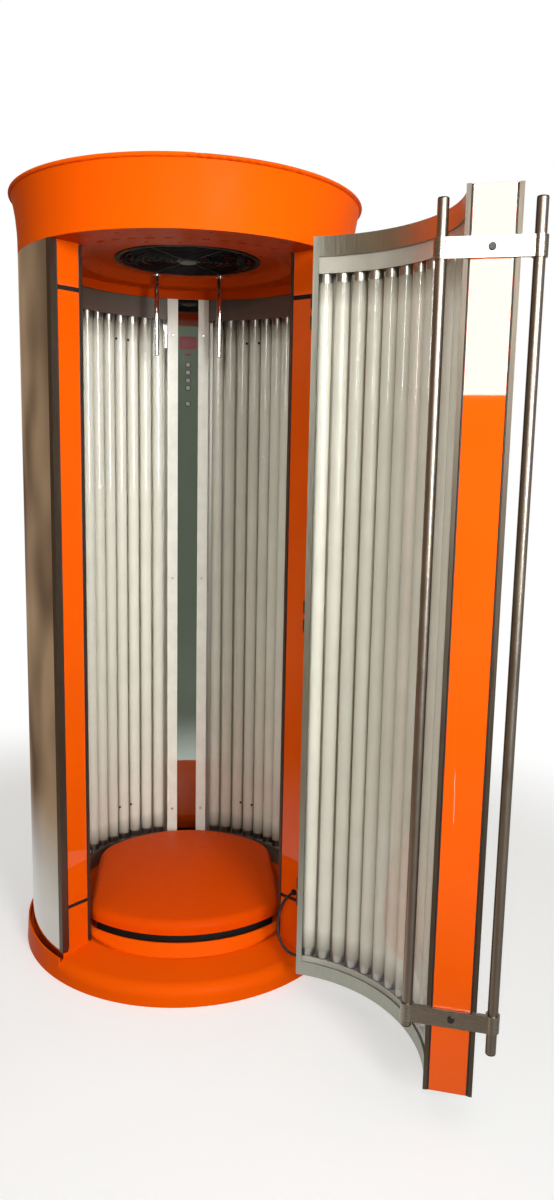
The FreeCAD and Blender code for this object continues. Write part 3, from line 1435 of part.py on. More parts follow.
def door_lead(start, start_way, stop, stop_way):
    """The black lead that hangs in a short loop between the jamb and the door's hinge end."""
    points = [
        start,
        start + start_way * 24.0,
        Vec(285.0, -350.0, 217.0),
        Vec(272.0, -372.0, 182.0),
        Vec(271.0, -390.0, 150.0),
        Vec(282.0, -408.0, 121.0),
        stop + stop_way * 24.0,
        stop,
    ]
    route, radii = rounded_route(points)
    section = Part.Wire([Part.makeCircle(LEAD_R, points[0], route.Edges[0].tangentAt(0))])
    tube = route.makePipeShell([section], True, False)
    expected = math.pi * LEAD_R**2 * route.Length
    print("lead route", [tuple(round(c, 1) for c in p) for p in points])
    print("lead length", round(route.Length, 1), "arc radii", [round(r, 1) for r in radii])
    print("lead volume over section times length", round(tube.Volume / expected, 4), tube.isValid())
    return tube


# ---- Assembly -----------------------------------------------------------------------------------


def build_base():
    keep("base_tray", base_tray())
    keep("base_frame", base_frame())
    keep("platform_plinth", platform_plinth())
    keep("platform", platform())


def build_wall():
    keep("wall_frame", wall_frame())
    keep("jamb_posts", jamb_post(RIGHT), jamb_post(LEFT))
    keep("right_jamb_covers", *jamb_covers(RIGHT))
    keep("left_jamb_covers", *jamb_covers(LEFT))
    keep("jamb_trims", *jamb_trims(RIGHT), *jamb_trims(LEFT))
    start = RIGHT_JAMB + angle_for(CLEAR, SKIN_R)
    joint = 90.0 - SKIN_JOINT_ANGLE
    half_gap = angle_for(CLEAR, SKIN_R)
    right = skin(start, joint - half_gap)
    keep("side_skins", right, mirrored(right))
    keep("back_skin", skin(joint + half_gap, 180.0 - joint - half_gap))
    keep("skin_joint_strips", *skin_joint_strips())


def build_lamps():
    start, stop = wall_span(REFLECTOR_R, SPINE_HALF_W)
    right = sector(REFLECTOR_R, REFLECTOR_R + REFLECTOR_T, DECK_Z, CEILING_Z, start, stop)
    keep("reflectors", right, mirrored(right))
    lamp_nodes("lamp_tubes", "lamp_caps", "lampholders", body_lamp_angles())
    front_r = SHIELD_R + SHIELD_T + 5 * CLEAR
    start, stop = wall_span(front_r, COLUMN_HALF_W)
    lower, upper = lamp_rails(front_r, DECK_Z, CEILING_Z, start, stop, SKIRT_LEDGE_IN)
    keep("lampholder_rails", lower, upper, mirrored(lower), mirrored(upper))
    start = RIGHT_JAMB + angle_for(TRIM_T + CLEAR, SHIELD_R)
    stop = 90.0 - angle_for(COLUMN_HALF_W + 2 * CLEAR, SHIELD_R)
    foot = SHELF_Z + SKIRT_H
    shield = sector(SHIELD_R, SHIELD_R + SHIELD_T, foot, CEILING_Z - CLEAR, start, stop)
    keep("acrylic_right", shield)
    keep("acrylic_left", mirrored(shield))


def build_column():
    keep("column_spine", column_spine())
    profile = column_profile()
    keep("column_profiles", profile, mirrored(profile))
    keep("column_fascia", column_fascia())
    keep("display_window", *windows(0.0))
    keep("display_board", display_board())
    keep("column_screws", *column_screws())
    for number, z in enumerate(button_heights(), 1):
        keep("button_%d" % number, button(z))


def build_top():
    keep("ceiling_panel", ceiling_panel())
    keep("fan_guard", fan_guard())
    keep("fan_impeller", fan_impeller())
    keep("fan_bracket", fan_bracket())
    keep("fan_motor", fan_motor())
    keep("hand_grips", hand_grip(-GRIP_X), hand_grip(GRIP_X))
    keep("canopy_shell", canopy_shell())
    keep("canopy_lid", canopy_lid())
    keep("ballasts", *ballasts())
    keep("terminal_box", terminal_box())
    keep("mains_gland", mains_gland())


def build_door():
    keep("door_frame", open_door(door_frame()))
    keep("door_skin", open_door(door_skin()))
    a0, a1 = door_inside()
    low = DOOR_Z + DOOR_PLATE_T
    high = DOOR_TOP_Z - DOOR_PLATE_T
    reflector = sector(REFLECTOR_R, REFLECTOR_R + REFLECTOR_T, low, high, a0, a1)
    keep("door_reflector", open_door(reflector))
    shield_r = DOOR_IN_R + DOOR_PLATE_T + CLEAR
    shield = sector(shield_r, shield_r + SHIELD_T, low, high, a0, a1)
    keep("door_acrylic", open_door(shield))
    lamp_nodes("door_lamp_tubes", "door_lamp_caps", "door_lampholders", door_lamp_angles(), open_door)
    rails = lamp_rails(shield_r + SHIELD_T + CLEAR, low, high, a0, a1)
    keep("door_lampholder_rails", *[open_door(s) for s in rails])
    keep("door_end_cover", open_door(door_end_cover()))
    keep("door_end_trims", *[open_door(s) for s in door_end_trims()])
    keep("handle_tubes", *[open_door(s) for s in handle_tubes()])
    keep("handle_straps", *[open_door(s) for s in handle_straps()])
    bolts = [handle_bolt_shape(z, BOLT_R, BOLT_HEAD_H) for z in STRAP_HEIGHTS]
    keep("handle_bolts", *[open_door(s) for s in bolts])


def build_lead():
    body_gland, start, start_way = lead_gland(RIGHT, LEAD_BODY_Z)
    door_gland, stop, stop_way = lead_gland(DOOR_HINGE_END, LEAD_DOOR_Z)
    swing = FreeCAD.Rotation(Vec(0, 0, 1), DOOR_REST_ANGLE)
    stop = HINGE_AXIS + swing.multVec(stop - HINGE_AXIS)
    stop_way = swing.multVec(stop_way)
    keep("harness_gland_body", body_gland)
    keep("harness_gland_door", open_door(door_gland))
    keep("door_harness", door_lead(start, start_way, stop, stop_way))


build_base()
build_wall()
build_lamps()
build_column()
build_top()
build_door()
hinge_nodes()
build_lead()

for name, shape in NODES.items():
    shape.exportStep("parts/%s.step" % name)
print(len(NODES), "nodes; hinge axis", tuple(round(c, 2) for c in HINGE_AXIS))
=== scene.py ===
"""Finishes a stand-up tanning booth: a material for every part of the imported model, and the small
pieces that its maker adds, such as the door lead, seals, screws, plugs, display figures and studs.
"""

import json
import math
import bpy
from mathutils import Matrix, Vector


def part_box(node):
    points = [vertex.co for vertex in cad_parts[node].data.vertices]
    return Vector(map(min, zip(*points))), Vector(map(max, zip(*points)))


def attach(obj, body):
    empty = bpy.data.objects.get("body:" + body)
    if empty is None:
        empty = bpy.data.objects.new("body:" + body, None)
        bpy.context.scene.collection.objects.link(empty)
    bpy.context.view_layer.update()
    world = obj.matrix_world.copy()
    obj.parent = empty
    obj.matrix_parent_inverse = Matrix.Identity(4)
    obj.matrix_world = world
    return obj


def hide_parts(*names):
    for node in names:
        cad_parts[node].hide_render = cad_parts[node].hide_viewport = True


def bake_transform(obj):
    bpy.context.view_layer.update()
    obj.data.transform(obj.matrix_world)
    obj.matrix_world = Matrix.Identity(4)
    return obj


bl_info = {
    "name": "Tanning Booth Finisher",
    "version": (1, 0, 0),
    "blender": (4, 5, 0),
    "location": "3D View > Sidebar > Booth",
    "description": "Gives a stand-up tanning booth its materials, door lead and small fittings",
    "category": "Object",
}

import bmesh
import bpy
from bpy.props import FloatProperty, FloatVectorProperty, IntProperty, PointerProperty
from mathutils import Matrix, Vector

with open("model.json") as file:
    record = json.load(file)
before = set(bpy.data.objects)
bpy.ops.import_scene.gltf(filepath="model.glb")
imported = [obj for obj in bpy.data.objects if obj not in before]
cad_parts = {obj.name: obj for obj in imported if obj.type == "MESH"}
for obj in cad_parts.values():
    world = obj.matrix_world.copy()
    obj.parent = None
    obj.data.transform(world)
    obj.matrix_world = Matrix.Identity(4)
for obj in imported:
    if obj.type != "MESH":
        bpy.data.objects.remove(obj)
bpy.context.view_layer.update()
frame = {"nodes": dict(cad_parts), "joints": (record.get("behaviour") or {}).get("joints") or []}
NODES = frame["nodes"]
MM = 0.001
SINK = 0.0002  # how far a fitting's foot lies in the face that carries it
CLEAR = 0.0003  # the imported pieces' clearance from their neighbours

# Places on the booth, in metres and degrees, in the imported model's frame
SKIN_R = 0.490
SHIELD_R = 0.390
STUD_ANGLES = (127.7, 121.0, 59.3, 52.3)
STUD_HEIGHTS = (1.905, 0.266)
COVER_IN_R = 0.3963
DOOR_IN_R = 0.389
DOOR_OUT_R = 0.497
CEILING_Z = 2.0780
CABIN_FLOOR_Z = 0.076
DOOR_Z = 0.080
DOOR_TOP_Z = 2.0720
JAMB_TRIM_W = 0.0179
DOOR_TRIM_W = 0.0077
RIGHT_JAMB = -43.5
DOOR_FREE = -134.5
DOOR_HINGED = -44.8
DOOR_OPEN = 116.0
LAMP_MIDDLE_Z = 1.0593
JOINT_STRIP_ANGLES = (40.0, 140.0)
LID_SCREW_R = 0.462
GUARD_SCREW_R = 0.2105
STRIP_T = 0.0015
STRIP_SCREWS_Z = (0.10, CEILING_Z - 0.04)
LEAF_INNER_R = 0.462
LEAF_SCREW_UP = 0.0266
JAMB_LEAF_SCREWS = (0.010, 0.030)
DOOR_LEAF_SCREWS = (0.010, 0.026)
JAMB_LEAF_FACE = -0.0056
DOOR_LEAF_FACE = -0.0036
HANDLE_RUNS = ((0.342, 0.235, 2.046), (0.535, 0.195, 2.041))  # each tube's u and its two ends
HANDLE_T = 0.006
HINGE_HEIGHTS = (0.245, 1.080, 1.915)
BUTTON_HEIGHTS = (1.834, 1.808, 1.782, 1.756, 1.702)
FASCIA_Y = 0.384
DISPLAY_Z = 1.907
PIVOT = Vector(next(j for j in frame["joints"] if j["name"] == "door_swing")["pos_m"])

# Control points of the door lead's route, from the jamb's gland to the door's
LEAD_ROUTE = (
    (0.3222, -0.3142, 0.2360),
    (0.3057, -0.3316, 0.2360),
    (0.2850, -0.3500, 0.2170),
    (0.2720, -0.3720, 0.1820),
    (0.2710, -0.3900, 0.1500),
    (0.2820, -0.4080, 0.1210),
    (0.3053, -0.4224, 0.1000),
    (0.3280, -0.4301, 0.1000),
)
BOOT_R = 0.0064
BOOT_FOOT = 0.001
BOOT_RIBS = 2
LEAD_DIAMETER = 0.008

# Sizes of the small round fittings, in metres
SCREW_HEIGHT = 0.55  # as a share of the screw's radius
GUARD_SCREW_HEAD = 0.003
PLUG_R, PLUG_HEIGHT, PLUG_SPIGOT = 0.0118, 0.003, 0.012
CAP_R, CAP_T, CAP_SINK = 0.025, 0.004, 0.0015
BEZEL_R, BEZEL_WIRE_R = 0.0082, 0.0009
STUD_R, STUD_HEIGHT = 0.0042, 0.0018

CAMERA_PLACE = (0.0123, -2.8523, 1.5302)
CAMERA_YAW, CAMERA_PITCH, CAMERA_ROLL = 0.0960, -0.1574, 0.0196
CAMERA_LENS = 27.26

FLOOR_R = 4.2
FLOOR_SINK = 0.0005
WHITE_FROM, PALE_TO = 2.6, 1.3  # the floor's pale middle ends and plain white begins
MELT = (0.5, 1.7)  # where reflections lose the floor

# Each light's name, place, target, width and height, power in watts and spread in degrees
SOFTBOXES = (
    ("tall softbox", (-0.62, -4.75, 2.62), (0.30, -0.4, 1.60), (0.5, 1.40), 56.0, 180),
    ("front softbox", (1.5, -4.2, 2.2), (-0.1, 0.0, 1.7), (1.0, 2.0), 34.0, 75),
    ("overhead softbox", (0.0, -0.8, 4.6), (0.1, -0.3, 0.6), (3.0, 3.0), 22.0, 180),
)
DOOR_FILL = ("door fill", (-2.6, -3.4, 1.3), (0.42, -0.62, 1.0), (1.4, 1.6), 3.0, 60)


def srgb(code):
    """An sRGB hex colour as linear red, green and blue."""
    parts = [int(code[i : i + 2], 16) / 255 for i in (0, 2, 4)]
    return tuple(c / 12.92 if c <= 0.04045 else ((c + 0.055) / 1.055) ** 2.4 for c in parts)


# ---- What a user would change -------------------------------------------------------------------


def colour_setting(name, description, code):
    return FloatVectorProperty(
        name=name,
        description=description,
        subtype="COLOR",
        size=3,
        min=0,
        max=1,
        default=srgb(code),
    )


def length_setting(name, description, default):
    return FloatProperty(name=name, description=description, unit="LENGTH", min=0, default=default)


class BoothColours(bpy.types.PropertyGroup):
    shell: colour_setting("Shell", "Gloss orange of the base tray and canopy", "F45A02")
    covers: colour_setting("Covers", "Orange of the powder-coated jamb and door covers", "EA5803")
    platform: colour_setting("Platform", "Orange of the standing platform", "E24C02")
    # Painted shade: the ceiling's orange is darkened a little below the shell's, standing in for
    # the shade under the cabin's roof.
    ceiling: colour_setting("Ceiling", "Orange of the formed ceiling panel", "C64203")
    lamp: colour_setting("Lamp", "Phosphor seen through the lamp glass", "F4F1E4")
    door_frame: colour_setting("Door frame", "Grey anodised aluminium of the door", "A9ADA2")
    display: colour_setting("Display", "Red acrylic of the display window", "6E0A0E")


class BoothSizes(bpy.types.PropertyGroup):
    seal_width: length_setting("Seal width", "Width of the half-round rubber seals", 0.004)
    seal_height: length_setting("Seal height", "How far the seals stand out", 0.0016)
    screw_head: length_setting("Screw head", "Radius of the small fixing screws' heads", 0.0036)
    strip_screws: IntProperty(
        name="Strip screws", description="Screws down each skin joint strip", min=2, default=9
    )
    lid_screws: IntProperty(
        name="Lid screws", description="Screws round the canopy's lid", min=3, default=12
    )
    boot_length: length_setting(
        "Boot length", "Height of the lead's rubber boots, low enough for the closed door", 0.0012
    )


# ---- Places -------------------------------------------------------------------------------------


def on_edge(angle, side, u, t, z):
    """A point at radius u on an upright edge and t behind its face; side is 1 or -1."""
    a = math.radians(angle)
    s = side * t
    return Vector((u * math.cos(a) - s * math.sin(a), u * math.sin(a) + s * math.cos(a), z))


def about(angle, radius, z):
    """A point at an angle and a radius about the booth's axis."""
    a = math.radians(angle)
    return Vector((radius * math.cos(a), radius * math.sin(a), z))


def open_door(point):
    """Where a point of the closed door is when the door stands open."""
    turn = Matrix.Rotation(math.radians(DOOR_OPEN), 4, "Z")
    return PIVOT + turn @ (Vector(point) - PIVOT)


def on_jamb(way, u, t, z):
    """A point on the right (1) or left (-1) jamb."""
    p = on_edge(RIGHT_JAMB, 1, u, t, z)
    return Vector((way * p.x, p.y, p.z))


def on_door_end(u, t, z):
    return open_door(on_edge(DOOR_FREE, 1, u, t, z))


def seat(point, normal, up=(0, 0, 1)):
    """A matrix that stands a model on a point, its +Z along the normal and its +Y towards up."""
    z = Vector(normal).normalized()
    up = Vector(up)
    if abs(z.dot(up)) > 0.95:
        up = Vector((0, 1, 0))
    x = up.cross(z).normalized()
    y = z.cross(x)
    place = Matrix((x, y, z)).transposed().to_4x4()
    return Matrix.Translation(point) @ place


# ---- Modelling ----------------------------------------------------------------------------------


def rest():
    """Object mode with nothing selected, so that the next operator acts on one piece only."""
    if bpy.context.mode != "OBJECT":
        bpy.ops.object.mode_set(mode="OBJECT")
    bpy.ops.object.select_all(action="DESELECT")


def edit():
    bpy.ops.object.mode_set(mode="EDIT")
    bpy.ops.mesh.select_all(action="DESELECT")


def pick_faces(test):
    """In edit mode, selects the faces whose middle and normal pass a test."""
    bpy.ops.mesh.select_mode(type="FACE")
    shape = bmesh.from_edit_mesh(bpy.context.object.data)
    shape.normal_update()
    for face in shape.faces:
        face.select_set(bool(test(face.calc_center_median(), face.normal)))
    bmesh.update_edit_mesh(bpy.context.object.data)


def pick_edges(test):
    """In edit mode, selects the edges whose two ends pass a test."""
    bpy.ops.mesh.select_mode(type="EDGE")
    shape = bmesh.from_edit_mesh(bpy.context.object.data)
    for edge in shape.edges:
        edge.select_set(bool(test(edge.verts[0].co, edge.verts[1].co)))
    bmesh.update_edit_mesh(bpy.context.object.data)


def top_middle(middle, normal):
    """Whether a face is the upper one on the Z axis."""
    return normal.z > 0.95 and middle.xy.length < 0.001


def pull(height):
    """Extrudes the selected faces upwards."""
    bpy.ops.mesh.extrude_region_move(TRANSFORM_OT_translate={"value": (0, 0, height)})


def inset_and_sink(inset, depth):
    """Insets the selected faces and moves the new ones along their normal."""
    bpy.ops.mesh.inset(thickness=inset)
    bpy.ops.mesh.extrude_region_shrink_fatten(TRANSFORM_OT_shrink_fatten={"value": depth})


def join(pieces):
    """Joins pieces into the first."""
    rest()
    for piece in pieces:
        piece.select_set(True)
    bpy.context.view_layer.objects.active = pieces[0]
    if len(pieces) > 1:
        bpy.ops.object.join()
    return pieces[0]


def copies(model, places):
    """Joins one copy of a model for each place, each with its own mesh, and removes the model."""
    made = []
    for place in places:
        twin = model.copy()
        twin.data = model.data.copy()
        twin.matrix_world = place
        bpy.context.scene.collection.objects.link(twin)
        made.append(twin)
    bpy.data.objects.remove(model)
    return join(made)


def finish_piece(piece, name, material, body, smooth=35.0):
    """Names a piece, puts its place into its mesh, gives it its material and lets it ride."""
    rest()
    piece.select_set(True)
    bpy.context.view_layer.objects.active = piece
    bpy.ops.object.transform_apply(location=True, rotation=True, scale=True)
    edit()
    bpy.ops.mesh.select_all(action="SELECT")
    bpy.ops.mesh.normals_make_consistent(inside=False)
    bpy.ops.object.mode_set(mode="OBJECT")
    bpy.ops.object.shade_smooth_by_angle(angle=math.radians(smooth))
    piece.name = name
    piece.data.name = name
    piece.data.materials.clear()
    piece.data.materials.append(material)
    if body:
        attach(piece, body)
    rest()
    return piece


def dress(material, *names):
    """Gives a material to CAD nodes."""
    for name in names:
        data = NODES[name].data
        data.materials.clear()
        data.materials.append(material)


# ---- Materials ----------------------------------------------------------------------------------


def add_node(tree, kind, settings=None, links=None):
    """Adds a node, sets its options and sockets, and links its sockets to other nodes' outputs."""
    made = tree.nodes.new(kind)
    for key, value in (settings or {}).items():
        if isinstance(key, int) or key in made.inputs:
            made.inputs[key].default_value = value
        else:
            setattr(made, key, value)
    for key, source in (links or {}).items():
        tree.links.new(source, made.inputs[key])
    return made


def new_material(name, **sockets):
    """A material with a Principled shader; returns it with its tree, shader and object place."""
    material = bpy.data.materials.new(name)
    material.use_nodes = True
    tree = material.node_tree
    tree.nodes.clear()
    settings = {key.replace("_", " "): value for key, value in sockets.items()}
    shader = add_node(tree, "ShaderNodeBsdfPrincipled", settings)
    add_node(tree, "ShaderNodeOutputMaterial", links={"Surface": shader.outputs[0]})
    place = add_node(tree, "ShaderNodeTexCoord").outputs["Object"]
    return material, tree, shader, place


def stretched(tree, place, stretch):
    """The object place with its pattern drawn out along an axis."""
    return add_node(
        tree, "ShaderNodeMapping", {"Scale": stretch}, {"Vector": place}
    ).outputs["Vector"]


def pattern(tree, place, size_mm, detail=2.0):
    """Noise whose patches are about size_mm across."""
    settings = {"Scale": 1000.0 / size_mm, "Detail": detail, "Roughness": 0.55}
    return add_node(tree, "ShaderNodeTexNoise", settings, {"Vector": place}).outputs["Fac"]


def ranged(tree, source, low, high, start=0.3, stop=0.7, **options):
    """A value that goes from low to high as its source goes from start to stop."""
    settings = {"From Min": start, "From Max": stop, "To Min": low, "To Max": high, **options}
    return add_node(tree, "ShaderNodeMapRange", settings, {"Value": source}).outputs["Result"]


def eased(tree, source, start, stop):
    """A value that eases from nought to one as its source goes from start to stop."""
    return ranged(tree, source, 0, 1, start, stop, interpolation_type="SMOOTHSTEP")


def maths(tree, operation, first, second=None):
    """Arithmetic on one or two terms, each a number or another node's output."""
    settings, links = {"operation": operation}, {}
    for key, term in enumerate((first, second)):
        if term is not None:
            (settings if isinstance(term, float) else links)[key] = term
    return add_node(tree, "ShaderNodeMath", settings, links).outputs[0]


def mixed(tree, factor, first, second):
    """A colour between two, each a linear colour or another node's output."""
    settings, links = {"data_type": "RGBA"}, {0: factor}
    for key, colour in ((6, first), (7, second)):
        if isinstance(colour, bpy.types.NodeSocket):
            links[key] = colour
        else:
            settings[key] = (*colour, 1.0)
    return add_node(tree, "ShaderNodeMix", settings, links).outputs[2]


def tint(tree, shader, factor, first, second):
    """Colours a shader between two colours by a factor."""
    tree.links.new(mixed(tree, factor, first, second), shader.inputs["Base Color"])


def shade(colour, amount):
    return tuple(min(1.0, c * amount) for c in colour)


def rough(tree, shader, source, low, high):
    tree.links.new(ranged(tree, source, low, high), shader.inputs["Roughness"])


def bump(tree, shader, height, depth_mm, strength=1.0):
    settings = {"Distance": depth_mm * MM, "Strength": strength}
    node = add_node(tree, "ShaderNodeBump", settings, {"Height": height})
    tree.links.new(node.outputs["Normal"], shader.inputs["Normal"])


def show(tree, factor, first, second):
    """Puts a mix of two shaders on the surface."""
    links = {0: factor, 1: first.outputs[0], 2: second.outputs[0]}
    both = add_node(tree, "ShaderNodeMixShader", links=links)
    out = next(n for n in tree.nodes if n.type.startswith("OUTPUT"))
    tree.links.new(both.outputs[0], out.inputs["Surface"])


def gloss_abs(name, colour):
    # Vacuum-formed ABS: a deep clean colour with a slow wave, and a shine kept low so that the
    # orange stays deep. The wave is drawn 60 mm long; the peel of 2 mm is drawn at 9 mm so that
    # it shows.
    material, tree, shader, place = new_material(name, IOR=1.53, Specular_IOR_Level=0.02)
    tint(tree, shader, ranged(tree, pattern(tree, place, 260), 0, 1), shade(colour, 0.96), colour)
    rough(tree, shader, pattern(tree, place, 45, 3), 0.32, 0.44)
    peel = maths(tree, "MULTIPLY", pattern(tree, place, 9), 0.12)
    bump(tree, shader, maths(tree, "ADD", pattern(tree, place, 60, 1), peel), 0.35)
    return material


def worn_abs(name, colour):
    # Moulded satin ABS: the same plastic, dulled, with fine paler scuffs across it.
    material, tree, shader, place = new_material(name, IOR=1.53, Specular_IOR_Level=0.02)
    scuffs = pattern(tree, stretched(tree, place, (1.0, 5.0, 1.0)), 26, 5)
    tint(tree, shader, ranged(tree, scuffs, 0, 1, 0.5, 0.8), colour, shade(colour, 1.08))
    rough(tree, shader, pattern(tree, place, 34, 4), 0.26, 0.42)
    bump(tree, shader, pattern(tree, place, 7, 3), 0.05)
    return material


def powder_coat(name, colour):
    # Gloss polyester powder on folded steel: even colour, sharp highlights, a slight orange peel.
    # Peel of 2 to 3 mm is drawn at 12 mm so that it shows.
    material, tree, shader, place = new_material(
        name, IOR=1.5, Specular_IOR_Level=0.0, Coat_Weight=0.9, Coat_Roughness=0.02
    )
    tint(tree, shader, ranged(tree, pattern(tree, place, 180), 0, 1), shade(colour, 0.95), colour)
    rough(tree, shader, pattern(tree, place, 30, 3), 0.40, 0.50)
    bump(tree, shader, pattern(tree, place, 12, 1), 0.025)
    return material


def polished_steel(name, colour, wave_mm, depth_mm, low, high):
    # Mirror-polished sheet: clear reflections that swim a little, dulled in patches by handling.
    material, tree, shader, place = new_material(name, Metallic=1.0)
    cloud = ranged(tree, pattern(tree, place, 130, 4), 0, 1)
    tint(tree, shader, cloud, shade(colour, 0.93), colour)
    rough(tree, shader, pattern(tree, place, 75, 5), low, high)
    bump(tree, shader, pattern(tree, stretched(tree, place, (1, 1, 0.7)), wave_mm, 2), depth_mm)
    return material


def brushed_metal(name, colour, low, high, stretch=(1.0, 1.0, 0.03)):
    # Brushed and anodised aluminium: fine lines along its length spread the highlights.
    # Brush lines of 0.2 mm are drawn 2.5 mm apart so that they show.
    material, tree, shader, place = new_material(name, Metallic=1.0)
    lines = pattern(tree, stretched(tree, place, stretch), 2.5, 3)
    tint(tree, shader, ranged(tree, lines, 0, 1), shade(colour, 0.86), colour)
    rough(tree, shader, lines, low, high)
    bump(tree, shader, lines, 0.01, 0.5)
    return material


def phosphor_glass(name, colour):
    # Fluorescent tube: clear glass over a chalky white powder, greyed towards both ends.
    material, tree, shader, place = new_material(
        name, IOR=1.5, Roughness=0.5, Coat_Weight=1.0, Coat_Roughness=0.03, Coat_IOR=1.5
    )
    height = add_node(tree, "ShaderNodeSeparateXYZ", links={0: place}).outputs["Z"]
    away = maths(tree, "ABSOLUTE", maths(tree, "SUBTRACT", height, LAMP_MIDDLE_Z))
    end = ranged(tree, away, 0, 1, 0.835, 0.905)
    cloud = ranged(tree, pattern(tree, place, 90, 3), 0, 0.12)
    tint(tree, shader, maths(tree, "MAXIMUM", end, cloud), colour, srgb("A39C8A"))
    return material


def clear_acrylic(name):
    # Cast acrylic: almost nothing to see but its gloss, which grows towards glancing angles.
    material, tree, shader, place = new_material(name, Base_Color=(0.9, 0.9, 0.9, 1), Metallic=1.0)
    rough(tree, shader, pattern(tree, place, 60, 4), 0.015, 0.05)
    bump(tree, shader, pattern(tree, place, 180, 1), 0.5)
    clear = add_node(tree, "ShaderNodeBsdfTransparent", {"Color": (0.975, 0.98, 0.975, 1)})
    edge = add_node(tree, "ShaderNodeFresnel", {"IOR": 1.49}).outputs[0]
    inside = add_node(tree, "ShaderNodeNewGeometry").outputs["Backfacing"]
    gloss = maths(tree, "MULTIPLY", edge, maths(tree, "SUBTRACT", 1.0, inside))
    show(tree, gloss, clear, shader)
    return material


def plain_plastic(name, colour, low, high, grain_mm=3.0, depth_mm=0.02, **sockets):
    # Injection-moulded plastic: a fine spark-eroded grain breaks its shine.
    material, tree, shader, place = new_material(name, IOR=1.5, **sockets)
    tint(tree, shader, ranged(tree, pattern(tree, place, 40, 3), 0, 1), shade(colour, 0.9), colour)
    rough(tree, shader, pattern(tree, place, 18, 3), low, high)
    bump(tree, shader, pattern(tree, place, grain_mm), depth_mm)
    return material


def coated_steel(name, colour, low, high):
    # Thin stove enamel on sheet steel: faint mottling and a low, even sheen.
    material, tree, shader, place = new_material(name, IOR=1.5)
    tint(tree, shader, ranged(tree, pattern(tree, place, 70, 4), 0, 1), shade(colour, 0.85), colour)
    rough(tree, shader, pattern(tree, place, 22, 3), low, high)
    bump(tree, shader, pattern(tree, place, 5), 0.03)
    return material


def zinc_plate(name, colour):
    # Bright zinc on steel: a cold metal with a cloudy spangle.
    material, tree, shader, place = new_material(name, Metallic=1.0)
    cells = add_node(
        tree, "ShaderNodeTexVoronoi", {"Scale": 1000.0 / 14}, {"Vector": place}
    ).outputs["Distance"]
    tint(tree, shader, ranged(tree, cells, 0, 1, 0.1, 0.6), shade(colour, 0.8), colour)
    rough(tree, shader, cells, 0.28, 0.42)
    return material


def rubber(name, colour):
    # Extruded black rubber: nearly matt, with a dusty bloom.
    material, tree, shader, place = new_material(name, IOR=1.52)
    dust = ranged(tree, pattern(tree, place, 25, 4), 0, 1, 0.45, 0.8)
    tint(tree, shader, dust, colour, shade(colour, 2.2))
    rough(tree, shader, pattern(tree, place, 8, 3), 0.45, 0.65)
    bump(tree, shader, pattern(tree, place, 1.6), 0.02)
    return material


def circuit_board(name):
    # Glass-epoxy board under green solder mask, with tracks drawn as a square lattice.
    material, tree, shader, place = new_material(name, IOR=1.55, Roughness=0.3)
    settings = {"Scale": 60.0, "Mortar Size": 0.04, "Mortar": (0, 0, 0, 1)}
    settings.update({"Color1": (1, 1, 1, 1), "Color2": (1, 1, 1, 1)})
    tracks = add_node(tree, "ShaderNodeTexBrick", settings, {"Vector": place}).outputs["Color"]
    tint(tree, shader, tracks, srgb("3E7A3A"), srgb("0E3B1C"))
    return material


BIN = {}


